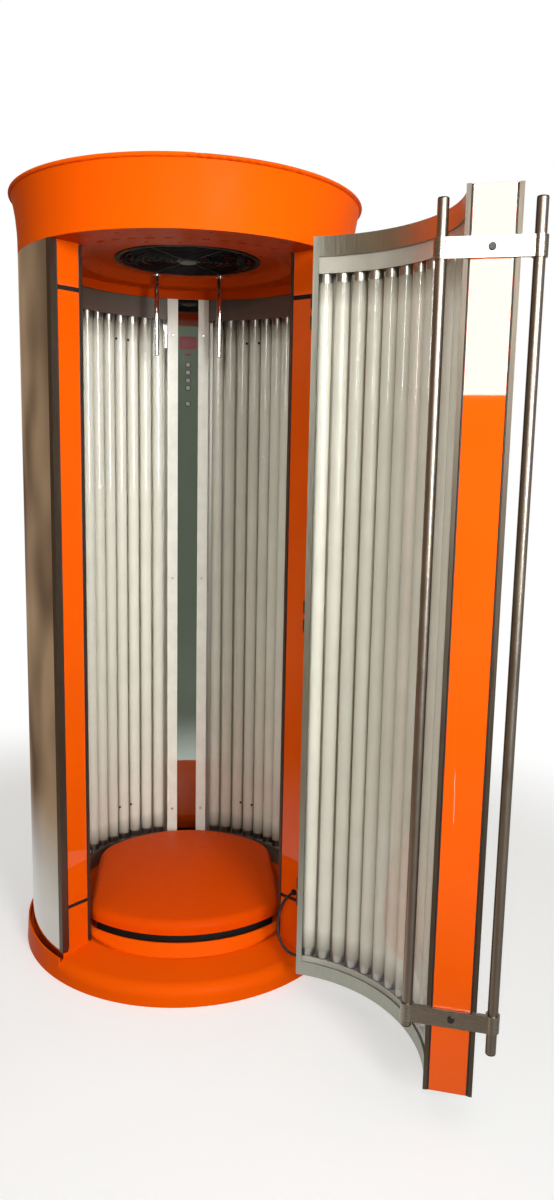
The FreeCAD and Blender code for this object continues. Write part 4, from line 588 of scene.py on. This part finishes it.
def materials():
    """The booth's materials, made once and shared by all its pieces."""
    if BIN:
        return BIN
    c = bpy.context.scene.booth_colours
    BIN.update(
        shell=gloss_abs("vacuum_formed_gloss_abs", c.shell),
        platform=worn_abs("moulded_abs_platform", c.platform),
        # The ceiling's colour is darkened a little as painted shade for the cabin's roof.
        ceiling=worn_abs("satin_abs_ceiling_painted_shade", c.ceiling),
        covers=powder_coat("gloss_polyester_powder_coat", c.covers),
        skin=polished_steel(
            "mirror_polished_stainless_sheet", srgb("C9C6C0"), 420, 1.2, 0.03, 0.10
        ),
        fascia=polished_steel("smoked_mirror_acrylic", srgb("B0BCB4"), 300, 0.3, 0.02, 0.06),
        chrome=polished_steel("chrome_plated_tube", srgb("E4E3E0"), 60, 0.02, 0.03, 0.09),
        # Painted reflection: the tubes' metal is darkened and tinted brown, standing in for a dark
        # brown room reflected in them.
        tube=polished_steel("stainless_tube_painted_room_reflection", srgb("8E867C"), 50, 0.004, 0.30, 0.42),
        trim=brushed_metal("bronze_anodised_aluminium", srgb("6A6257"), 0.34, 0.48),
        frame=brushed_metal("grey_anodised_aluminium", c.door_frame, 0.30, 0.45),
        strap=brushed_metal("brushed_stainless_strap", srgb("9E9A90"), 0.24, 0.36, (0.1, 0.1, 1.0)),
        reflector=brushed_metal("bright_rolled_aluminium", srgb("F2EEE4"), 0.40, 0.55),
        lamp=phosphor_glass("phosphor_coated_glass", c.lamp),
        lamp_end=brushed_metal("spun_aluminium_lamp_cap", srgb("B9B7B0"), 0.25, 0.40),
        acrylic=clear_acrylic("clear_cast_acrylic"),
        profile=plain_plastic(
            "gloss_white_extruded_pvc", srgb("F0F0E4"), 0.12, 0.22, 14, 0.02, Coat_Weight=0.4
        ),
        display=plain_plastic(
            "red_display_acrylic", c.display, 0.30, 0.40, 20, 0.005, Specular_IOR_Level=0.2
        ),
        digits=plain_plastic("unlit_display_segment", srgb("641414"), 0.4, 0.5),
        button=plain_plastic("translucent_polycarbonate", srgb("7E7D74"), 0.4, 0.55, 3, 0.01),
        holder=plain_plastic("white_polycarbonate_holder", srgb("E6E4DC"), 0.35, 0.5),
        pale=coated_steel("pale_enamelled_sheet", srgb("C6C2B6"), 0.5, 0.65),
        black=plain_plastic(
            "black_glass_filled_nylon", srgb("0B0B0C"), 0.45, 0.65, Specular_IOR_Level=0.25
        ),
        cap=plain_plastic("grey_moulded_cap", srgb("6B6E62"), 0.4, 0.55),
        # Painted shade: the plinth is black so that the gap under the platform reads dark; the jamb
        # posts share this material.
        plinth=plain_plastic("black_plinth_painted_gap_shade", srgb("0E0C0C"), 0.5, 0.7, 4, 0.05),
        rail=coated_steel("grey_stove_enamelled_sheet", srgb("6A5E54"), 0.4, 0.6),
        painted=coated_steel("black_powder_coated_steel", srgb("1B1B1D"), 0.45, 0.6),
        # Painted shade: the ballast cases are black so that the vent slots in the ceiling over them
        # read dark.
        ballast=coated_steel("ballast_case_painted_slot_shade", srgb("161617"), 0.4, 0.55),
        zinc=zinc_plate("zinc_plated_steel", srgb("C8C8C4")),
        bolt=coated_steel("black_oxide_steel", srgb("242120"), 0.3, 0.45),
        seal=rubber("extruded_black_rubber", srgb("191817")),
        lead=rubber("black_rubber_sheath", srgb("141212")),
        board=circuit_board("solder_masked_board"),
    )
    return BIN


# ---- Operators ----------------------------------------------------------------------------------


class BOOTH_OT_camera(bpy.types.Operator):
    """Stand the camera in front of the open doorway, at a grown person's eye height"""

    bl_idname = "booth.camera"
    bl_label = "Camera"

    def execute(self, context):
        yaw, pitch, roll = CAMERA_YAW, CAMERA_PITCH, CAMERA_ROLL
        ahead = Vector(
            (math.sin(yaw) * math.cos(pitch), math.cos(yaw) * math.cos(pitch), math.sin(pitch))
        )
        level = Vector((math.cos(yaw), -math.sin(yaw), 0))
        above = level.cross(ahead)
        right = level * math.cos(roll) + above * math.sin(roll)
        up = above * math.cos(roll) - level * math.sin(roll)
        data = bpy.data.cameras.new("booth camera")
        data.sensor_width = 36.0
        data.lens = CAMERA_LENS
        data.clip_end = 200.0
        camera = bpy.data.objects.new("booth camera", data)
        turn = Matrix((right, up, -ahead)).transposed().to_4x4()
        camera.matrix_world = Matrix.Translation(CAMERA_PLACE) @ turn
        context.scene.collection.objects.link(camera)
        context.scene.camera = camera
        return {"FINISHED"}


class BOOTH_OT_door_lead(bpy.types.Operator):
    """Hang the black lead between the jamb and the door, with a low rubber boot at each end"""

    bl_idname = "booth.door_lead"
    bl_label = "Door lead"

    def boot(self, start, onward, length):
        """A low, ribbed rubber boot on a gland; the closed door leaves it under 3 mm."""
        rest()
        bpy.ops.mesh.primitive_cylinder_add(vertices=24, radius=BOOT_R, depth=BOOT_FOOT)
        boot = bpy.context.object
        edit()
        step = length / BOOT_RIBS
        for i in range(BOOT_RIBS):
            pick_faces(lambda m, n: n.z > 0.9 and m.z > i * step)
            pull(0.35 * step)
            bpy.ops.transform.resize(value=(0.90, 0.90, 1.0))
            pull(0.30 * step)
            pull(0.35 * step)
            bpy.ops.transform.resize(value=(1.04, 1.04, 1.0))
        bpy.ops.mesh.select_all(action="SELECT")
        bpy.ops.mesh.bevel(offset=0.00005, segments=1)
        bpy.ops.object.mode_set(mode="OBJECT")
        boot.matrix_world = seat(start, onward)
        return boot

    def meshed(self, route):
        """A curve's present shape as a mesh."""
        bpy.context.view_layer.update()
        graph = bpy.context.evaluated_depsgraph_get()
        return bpy.data.meshes.new_from_object(route.evaluated_get(graph))

    def execute(self, context):
        made = materials()
        curve = bpy.data.curves.new("lead route", "CURVE")
        curve.dimensions = "3D"
        curve.resolution_u = 16
        spline = curve.splines.new("NURBS")
        spline.points.add(len(LEAD_ROUTE) - 1)
        for point, place in zip(spline.points, LEAD_ROUTE):
            point.co = (*place, 1.0)
        spline.order_u = 3
        spline.use_endpoint_u = True
        route = bpy.data.objects.new("lead route", curve)
        context.scene.collection.objects.link(route)
        path = [v.co.copy() for v in self.meshed(route).vertices]
        curve.bevel_depth = LEAD_DIAMETER / 2
        curve.bevel_resolution = 4
        curve.use_fill_caps = True
        tube = bpy.data.objects.new("door_lead", self.meshed(route))
        context.scene.collection.objects.link(tube)
        bpy.data.objects.remove(route)
        tube = finish_piece(tube, "door_lead", made["lead"], None, 60)
        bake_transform(tube)
        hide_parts("door_harness")
        length = context.scene.booth_sizes.boot_length
        ends = (("lead_boot_jamb", 0, 1, "booth"), ("lead_boot_door", -1, -2, "door"))
        for name, at, to, body in ends:
            start = Vector(LEAD_ROUTE[at])
            onward = (Vector(LEAD_ROUTE[to]) - start).normalized()
            boot = self.boot(start + onward * CLEAR, onward, length)
            finish_piece(boot, name, made["lead"], body)
        return {"FINISHED"}


class BOOTH_OT_shell_finish(bpy.types.Operator):
    """Give the base, canopy, ceiling, covers and mirror skins their materials"""

    bl_idname = "booth.shell_finish"
    bl_label = "Shell finishes"

    def execute(self, context):
        made = materials()
        dress(made["shell"], "base_tray", "canopy_shell")
        dress(made["platform"], "platform")
        dress(made["ceiling"], "ceiling_panel")
        dress(made["covers"], "left_jamb_covers", "right_jamb_covers", "door_end_cover")
        dress(made["skin"], "side_skins", "back_skin", "door_skin")
        dress(made["plinth"], "platform_plinth", "jamb_posts")
        dress(made["trim"], "jamb_trims", "skin_joint_strips", "door_end_trims")
        dress(made["trim"], "hinge_body_leaves", "hinge_door_leaves")
        dress(made["frame"], "door_frame")
        dress(made["rail"], "canopy_lid")
        dress(made["painted"], "base_frame", "wall_frame")
        return {"FINISHED"}


class BOOTH_OT_lamp_finish(bpy.types.Operator):
    """Give the lamps, their holders, reflectors and shields their materials"""

    bl_idname = "booth.lamp_finish"
    bl_label = "Lamp finishes"

    def execute(self, context):
        made = materials()
        dress(made["lamp"], "lamp_tubes", "door_lamp_tubes")
        dress(made["lamp_end"], "lamp_caps", "door_lamp_caps")
        dress(made["holder"], "lampholders", "door_lampholders")
        dress(made["rail"], "lampholder_rails")
        dress(made["pale"], "door_lampholder_rails")
        dress(made["reflector"], "reflectors", "door_reflector")
        dress(made["acrylic"], "acrylic_left", "acrylic_right", "door_acrylic")
        return {"FINISHED"}


class BOOTH_OT_fitting_finish(bpy.types.Operator):
    """Give the column, fan, grips, handles and electrical parts their materials"""

    bl_idname = "booth.fitting_finish"
    bl_label = "Fitting finishes"

    def execute(self, context):
        made = materials()
        dress(made["profile"], "column_profiles")
        dress(made["fascia"], "column_fascia")
        dress(made["display"], "display_window")
        dress(made["button"], *["button_%d" % i for i in range(1, 6)])
        dress(made["board"], "display_board")
        dress(made["zinc"], "column_spine", "column_screws", "fan_bracket", "hinge_pins")
        dress(made["chrome"], "hand_grips")
        dress(made["tube"], "handle_tubes")
        dress(made["strap"], "handle_straps")
        dress(made["bolt"], "handle_bolts")
        dress(made["black"], "fan_guard", "fan_impeller", "terminal_box", "mains_gland")
        dress(made["black"], "harness_gland_body", "harness_gland_door")
        dress(made["painted"], "fan_motor")
        dress(made["ballast"], "ballasts")
        dress(made["lead"], "door_harness")
        return {"FINISHED"}


class BOOTH_OT_seals(bpy.types.Operator):
    """Lay half-round rubber seals beside the trims on the jambs and on the door's end"""

    bl_idname = "booth.seals"
    bl_label = "Seals"

    def bead(self, start, height, along, normal):
        """An upright half-round bead, its width along one way and its crown along the normal."""
        sizes = bpy.context.scene.booth_sizes
        rest()
        bpy.ops.mesh.primitive_circle_add(vertices=14, radius=0.5, fill_type="NGON")
        bead = bpy.context.object
        edit()
        bpy.ops.mesh.select_all(action="SELECT")
        bpy.ops.mesh.bisect(
            plane_co=(0, 0, 0), plane_no=(0, 1, 0), clear_inner=True, use_fill=False
        )
        bpy.ops.mesh.select_all(action="SELECT")
        bpy.ops.transform.resize(
            value=(sizes.seal_width, 2 * sizes.seal_height, 1), center_override=(0, 0, 0)
        )
        pull(height)
        bpy.ops.object.mode_set(mode="OBJECT")
        x = Vector(along).normalized()
        y = Vector(normal).normalized()
        place = Matrix((x, y, Vector((0, 0, 1)))).transposed().to_4x4()
        bead.matrix_world = Matrix.Translation(start) @ place
        return bead

    def beads(self, name, body, edges, places, low, high):
        """One upright bead at each place u along each edge, joined in one piece."""
        made = []
        for edge in edges:
            for u in places:
                start = edge(u, SINK, low)
                along = edge(u + 1, SINK, low) - start
                normal = edge(u, SINK - 1, low) - start
                made.append(self.bead(start, high - low, along, normal))
        finish_piece(join(made), name, materials()["seal"], body, 50)

    def execute(self, context):
        half = context.scene.booth_sizes.seal_width / 2
        jambs = [lambda u, t, z, way=way: on_jamb(way, u, t, z) for way in (1, -1)]
        places = (SKIN_R - JAMB_TRIM_W - half, COVER_IN_R + half)
        low, high = CABIN_FLOOR_Z + 0.006, CEILING_Z - 0.004
        self.beads("jamb_seals", "booth", jambs, places, low, high)
        places = (DOOR_IN_R + DOOR_TRIM_W + half, DOOR_OUT_R - DOOR_TRIM_W - half)
        low, high = DOOR_Z + 0.001, DOOR_TOP_Z - 0.001
        self.beads("door_end_seals", "door", [on_door_end], places, low, high)
        return {"FINISHED"}


def standing_disc(corners, radius, height):
    """A disc that stands on the origin."""
    rest()
    bpy.ops.mesh.primitive_cylinder_add(
        vertices=corners, radius=radius, depth=height, location=(0, 0, height / 2)
    )
    bpy.ops.object.transform_apply(location=True)
    return bpy.context.object


def pan_screw(radius):
    """A domed screw head with a cross recess, standing on the origin along +Z."""
    height = radius * SCREW_HEIGHT
    screw = standing_disc(16, radius, height)
    edit()
    pick_edges(lambda a, b: min(a.z, b.z) > 0.9 * height)
    bpy.ops.mesh.bevel(offset=radius * 0.4, segments=3, clamp_overlap=True)
    bpy.ops.object.mode_set(mode="OBJECT")
    cutters = []
    for size in ((0.9, 0.2), (0.2, 0.9)):
        rest()
        bpy.ops.mesh.primitive_cube_add(size=1, location=(0, 0, height))
        cutter = bpy.context.object
        cutter.scale = (radius * size[0], radius * size[1], radius * 0.5)
        bpy.ops.object.transform_apply(location=True, scale=True)
        cutters.append(cutter)
    for cutter in cutters:
        rest()
        screw.select_set(True)
        bpy.context.view_layer.objects.active = screw
        cross = screw.modifiers.new("cross", "BOOLEAN")
        cross.operation = "DIFFERENCE"
        cross.solver = "EXACT"
        cross.object = cutter
        bpy.ops.object.modifier_apply(modifier=cross.name)
        bpy.data.objects.remove(cutter)
    return screw


class BOOTH_OT_screws(bpy.types.Operator):
    """Drive the small cross-head screws into strips, hinges, lid and fan guard"""

    bl_idname = "booth.screws"
    bl_label = "Screws"

    def execute(self, context):
        sizes = context.scene.booth_sizes
        low, high = STRIP_SCREWS_Z
        strip = []
        for angle in JOINT_STRIP_ANGLES:
            for i in range(sizes.strip_screws):
                z = low + (high - low) * i / (sizes.strip_screws - 1)
                place = about(angle, SKIN_R + CLEAR + STRIP_T, z)
                strip.append(seat(place, about(angle, 1, 0)))
        self.drive("strip_screws", "booth", strip)
        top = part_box("canopy_lid")[1][2]
        turns = [360 * (i + 0.5) / sizes.lid_screws for i in range(sizes.lid_screws)]
        lid = [seat(about(angle, LID_SCREW_R, top), (0, 0, 1)) for angle in turns]
        self.drive("lid_screws", "booth", lid)
        body, door = [], []
        for middle in HINGE_HEIGHTS:
            for z in (middle - LEAF_SCREW_UP, middle + LEAF_SCREW_UP):
                for u in JAMB_LEAF_SCREWS:
                    place = on_jamb(1, LEAF_INNER_R + u, JAMB_LEAF_FACE, z)
                    away = on_jamb(1, LEAF_INNER_R + u, JAMB_LEAF_FACE - 1, z) - place
                    body.append(seat(place, away))
            for u in DOOR_LEAF_SCREWS:
                place = self.on_door_leaf(u, DOOR_LEAF_FACE, middle)
                away = self.on_door_leaf(u, DOOR_LEAF_FACE - 1, middle) - place
                door.append(seat(place, away))
        self.drive("hinge_screws_jamb", "booth", body)
        self.drive("hinge_screws_door", "door", door)
        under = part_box("fan_guard")[0][2]
        ring = [seat(about(60 * i + 30, GUARD_SCREW_R, under), (0, 0, -1)) for i in range(6)]
        screws = copies(pan_screw(GUARD_SCREW_HEAD), ring)
        finish_piece(screws, "guard_screws", materials()["bolt"], "booth")
        return {"FINISHED"}

    def on_door_leaf(self, u, t, z):
        return open_door(on_edge(DOOR_HINGED, -1, LEAF_INNER_R + u, t, z))

    def drive(self, name, body, places):
        """One zinc-plated screw in each place, joined in one piece."""
        screws = copies(pan_screw(bpy.context.scene.booth_sizes.screw_head), places)
        finish_piece(screws, name, materials()["zinc"], body)


class BOOTH_OT_handle_plugs(bpy.types.Operator):
    """Close the ends of the two long handle tubes with domed plugs"""

    bl_idname = "booth.handle_plugs"
    bl_label = "Handle plugs"

    def execute(self, context):
        plug = standing_disc(32, PLUG_R, PLUG_HEIGHT)
        edit()
        pick_edges(lambda a, b: min(a.z, b.z) > 0.9 * PLUG_HEIGHT)
        bpy.ops.mesh.bevel(offset=0.0018, segments=4)
        pick_faces(lambda m, n: n.z < -0.9)
        bpy.ops.mesh.inset(thickness=0.0016)
        pull(-PLUG_SPIGOT)
        bpy.ops.object.mode_set(mode="OBJECT")
        places = []
        for u, low, high in HANDLE_RUNS:
            places.append(seat(on_door_end(u, HANDLE_T, high), (0, 0, 1)))
            places.append(seat(on_door_end(u, HANDLE_T, low), (0, 0, -1)))
        plugs = copies(plug, places)
        finish_piece(plugs, "handle_plugs", materials()["black"], "door")
        return {"FINISHED"}


class BOOTH_OT_fan_cap(bpy.types.Operator):
    """Set the plain ridged cap on the middle of the fan guard"""

    bl_idname = "booth.fan_cap"
    bl_label = "Fan cap"

    def execute(self, context):
        made = materials()
        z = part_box("fan_guard")[0][2]
        rest()
        bpy.ops.mesh.primitive_cylinder_add(vertices=48, radius=CAP_R, depth=CAP_T)
        cap = bpy.context.object
        edit()
        rings = ((0.003, 0.0022), (0.004, -0.0012), (0.002, 0.0015), (0.005, 0.0009))
        for inset, depth in rings:
            pick_faces(top_middle)
            inset_and_sink(inset, depth)
        bpy.ops.object.mode_set(mode="OBJECT")
        soften = cap.modifiers.new("soften", "BEVEL")
        soften.width = 0.0008
        soften.segments = 2
        bpy.ops.object.modifier_apply(modifier=soften.name)
        cap.matrix_world = seat(Vector((0, 0, z - CAP_SINK)), (0, 0, -1))
        finish_piece(cap, "fan_cap", made["cap"], "booth")
        return {"FINISHED"}


class BOOTH_OT_display_figures(bpy.types.Operator):
    """Set the unlit seven-segment figures in the display and a bezel round each button"""

    bl_idname = "booth.display_figures"
    bl_label = "Display figures and bezels"

    def execute(self, context):
        made = materials()
        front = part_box("display_window")[0][1]
        rest()
        bpy.ops.mesh.primitive_cylinder_add(vertices=6, radius=0.5, depth=1.0)
        bar = bpy.context.object
        edit()
        stretch, size = 2.2, (0.0021, 0.0021, 0.0003)
        pick_faces(lambda m, n: n.x > 0.5)
        bpy.ops.transform.translate(value=(stretch, 0, 0))
        pick_faces(lambda m, n: n.z > 0.9)
        bpy.ops.mesh.inset(thickness=0.12)
        bpy.ops.object.mode_set(mode="OBJECT")
        bar.data.transform(Matrix.Translation((-stretch / 2, 0, 0)))
        bar.data.transform(Matrix.Diagonal((*size, 1)))
        places = []
        cell, pitch = 0.0085, 0.0155  # a figure's half height and width, and the figures' spacing
        for digit in (-pitch, 0.0, pitch):
            spots = [(0, cell, 0), (0, 0, 0), (0, -cell, 0)]
            spots += [(s * cell / 2, u * cell / 2, 90) for s in (-1, 1) for u in (-1, 1)]
            for x, up, turn in spots:
                place = seat(Vector((digit + x, front, DISPLAY_Z + up)), (0, -1, 0))
                places.append(place @ Matrix.Rotation(math.radians(turn), 4, "Z"))
        figures = copies(bar, places)
        finish_piece(figures, "display_figures", made["digits"], "booth")
        rest()
        bpy.ops.mesh.primitive_torus_add(
            major_radius=BEZEL_R, minor_radius=BEZEL_WIRE_R, major_segments=32, minor_segments=8
        )
        bezel = bpy.context.object
        edit()
        bpy.ops.mesh.select_all(action="SELECT")
        bpy.ops.transform.resize(value=(1, 1, 0.6))
        bpy.ops.object.mode_set(mode="OBJECT")
        spots = [seat(Vector((0, FASCIA_Y, z)), (0, -1, 0)) for z in BUTTON_HEIGHTS]
        bezels = copies(bezel, spots)
        finish_piece(bezels, "button_bezels", made["black"], "booth")
        return {"FINISHED"}


class BOOTH_OT_shield_studs(bpy.types.Operator):
    """Press the small dark studs that hold the acrylic shields"""

    bl_idname = "booth.shield_studs"
    bl_label = "Shield studs"

    def execute(self, context):
        stud = standing_disc(14, STUD_R, STUD_HEIGHT)
        edit()
        pick_edges(lambda a, b: min(a.z, b.z) > 0.9 * STUD_HEIGHT)
        bpy.ops.mesh.bevel(offset=0.0012, segments=3)
        pick_faces(top_middle)
        inset_and_sink(0.0008, -0.0006)
        bpy.ops.object.mode_set(mode="OBJECT")
        places = []
        for angle in STUD_ANGLES:
            for z in STUD_HEIGHTS:
                places.append(seat(about(angle, SHIELD_R, z), -about(angle, 1, 0)))
        studs = copies(stud, places)
        finish_piece(studs, "shield_studs", materials()["black"], "booth")
        return {"FINISHED"}


class BOOTH_OT_stage(bpy.types.Operator):
    """Lay a pale floor under the booth and light it softly"""

    bl_idname = "booth.stage"
    bl_label = "Stage"

    def execute(self, context):
        rest()
        bpy.ops.mesh.primitive_circle_add(
            vertices=96, radius=FLOOR_R, fill_type="NGON", location=(0, 0, -FLOOR_SINK)
        )
        floor = context.object
        floor.name = "studio floor"
        bpy.ops.object.transform_apply(location=True)
        material, tree, shader, place = new_material("matt_white_studio_floor", Roughness=0.9)
        seen = self.seen(tree)
        distance = add_node(
            tree, "ShaderNodeVectorMath", {"operation": "LENGTH"}, {0: place}
        ).outputs["Value"]
        # The floor is grey-brown for the light that it throws back, and pale to the eye. Far from
        # the booth it turns into plain white, so that it runs on into the backdrop.
        near = eased(tree, distance, WHITE_FROM, PALE_TO)
        far = mixed(tree, seen, srgb("8F7F6C"), (0, 0, 0))
        close = mixed(tree, seen, srgb("7C7064"), srgb("DADBDC"))
        tree.links.new(mixed(tree, near, far, close), shader.inputs["Base Color"])
        lift = maths(tree, "MULTIPLY", ranged(tree, near, 1.0, 0.38, 0, 1), seen)
        glow = add_node(tree, "ShaderNodeEmission", {"Color": (1, 1, 1, 1)}, {"Strength": lift})
        links = {0: shader.outputs[0], 1: glow.outputs[0]}
        both = add_node(tree, "ShaderNodeAddShader", links=links)
        # In reflections the floor melts into the room, so that no rim of it shows in the skins.
        glossy = add_node(tree, "ShaderNodeLightPath").outputs["Is Glossy Ray"]
        away = maths(tree, "MULTIPLY", eased(tree, distance, *MELT), glossy)
        show(tree, away, both, add_node(tree, "ShaderNodeBsdfTransparent"))
        floor.data.materials.append(material)
        self.world(context)
        for light in SOFTBOXES:
            self.lamp(*light)
        self.lamp(*DOOR_FILL).visible_glossy = False
        context.scene.view_settings.view_transform = "Standard"
        rest()
        return {"FINISHED"}

    def seen(self, tree):
        """One where the camera, a reflection or a clear pane looks, and nought for the light."""
        path = add_node(tree, "ShaderNodeLightPath").outputs
        clear = maths(tree, "MAXIMUM", path["Is Glossy Ray"], path["Is Transmission Ray"])
        return maths(tree, "MAXIMUM", path["Is Camera Ray"], clear)

    def lamp(self, name, place, target, size, watts, spread):
        data = bpy.data.lights.new(name, "AREA")
        data.shape = "RECTANGLE"
        data.size, data.size_y = size
        data.energy = watts
        data.spread = math.radians(spread)
        light = bpy.data.objects.new(name, data)
        aim = (Vector(target) - Vector(place)).to_track_quat("-Z", "Y")
        light.matrix_world = Matrix.Translation(place) @ aim.to_matrix().to_4x4()
        light.visible_camera = False
        bpy.context.scene.collection.objects.link(light)
        return light

    def world(self, context):
        """A soft room all round, seen in the metal; the camera and clear panes see plain white."""
        world = bpy.data.worlds.new("soft studio")
        context.scene.world = world
        world.use_nodes = True
        tree = world.node_tree
        tree.nodes.clear()
        way = add_node(tree, "ShaderNodeTexCoord").outputs["Generated"]
        split = add_node(tree, "ShaderNodeSeparateXYZ", links={0: way}).outputs
        soft = add_node(
            tree,
            "ShaderNodeTexNoise",
            {"Scale": 3.4, "Detail": 1.0},
            {"Vector": stretched(tree, way, (0.45, 0.45, 2.2))},
        ).outputs["Fac"]
        soft = ranged(tree, soft, 0, 1, 0.35, 0.65)
        grey = mixed(tree, soft, srgb("8C8882"), srgb("BDB8B0"))
        brown = mixed(tree, soft, srgb("6C5645"), srgb("B79A7C"))
        room = mixed(tree, eased(tree, split["X"], 0.1, -0.4), grey, brown)
        # A pale ceiling, a dim patch straight in front and the white backdrop straight behind
        room = mixed(tree, eased(tree, split["Z"], 0.25, 0.85), room, srgb("C9BFB2"))
        room = mixed(tree, eased(tree, split["Y"], -0.93, -0.985), room, srgb("7C7E72"))
        room = mixed(tree, eased(tree, split["Y"], 0.95, 0.99), room, (1, 1, 1))
        right = eased(tree, split["X"], -0.9, 0.9)
        light = mixed(tree, right, srgb("7A766E"), srgb("BEBCB6"))
        path = add_node(tree, "ShaderNodeLightPath").outputs
        room = mixed(tree, path["Is Glossy Ray"], light, room)
        studio = add_node(tree, "ShaderNodeBackground", {"Strength": 1.0}, {"Color": room})
        white = add_node(tree, "ShaderNodeBackground", {"Color": (1, 1, 1, 1), "Strength": 1.0})
        seen = maths(tree, "MAXIMUM", path["Is Camera Ray"], path["Is Transmission Ray"])
        add_node(tree, "ShaderNodeOutputWorld")
        show(tree, seen, studio, white)


OPERATORS = (
    BOOTH_OT_camera,
    BOOTH_OT_door_lead,
    BOOTH_OT_shell_finish,
    BOOTH_OT_lamp_finish,
    BOOTH_OT_fitting_finish,
    BOOTH_OT_seals,
    BOOTH_OT_screws,
    BOOTH_OT_handle_plugs,
    BOOTH_OT_fan_cap,
    BOOTH_OT_display_figures,
    BOOTH_OT_shield_studs,
    BOOTH_OT_stage,
)


class BOOTH_PT_sidebar(bpy.types.Panel):
    """The booth's sizes, colours and pieces"""

    bl_idname = "BOOTH_PT_sidebar"
    bl_label = "Tanning booth"
    bl_space_type = "VIEW_3D"
    bl_region_type = "UI"
    bl_category = "Booth"

    def draw(self, context):
        layout = self.layout
        for group in (context.scene.booth_colours, context.scene.booth_sizes):
            column = layout.column(align=True)
            for name in group.__annotations__:
                column.prop(group, name)
        column = layout.column(align=True)
        for operator in OPERATORS:
            column.operator(operator.bl_idname)


CLASSES = (BoothColours, BoothSizes, *OPERATORS, BOOTH_PT_sidebar)


def register():
    for cls in CLASSES:
        bpy.utils.register_class(cls)
    bpy.types.Scene.booth_colours = PointerProperty(type=BoothColours)
    bpy.types.Scene.booth_sizes = PointerProperty(type=BoothSizes)


def unregister():
    del bpy.types.Scene.booth_sizes
    del bpy.types.Scene.booth_colours
    for cls in reversed(CLASSES):
        bpy.utils.unregister_class(cls)


def main():
    register()
    for operator in OPERATORS:
        group, name = operator.bl_idname.split(".")
        getattr(getattr(bpy.ops, group), name)()


if __name__ == "__main__":
    main()
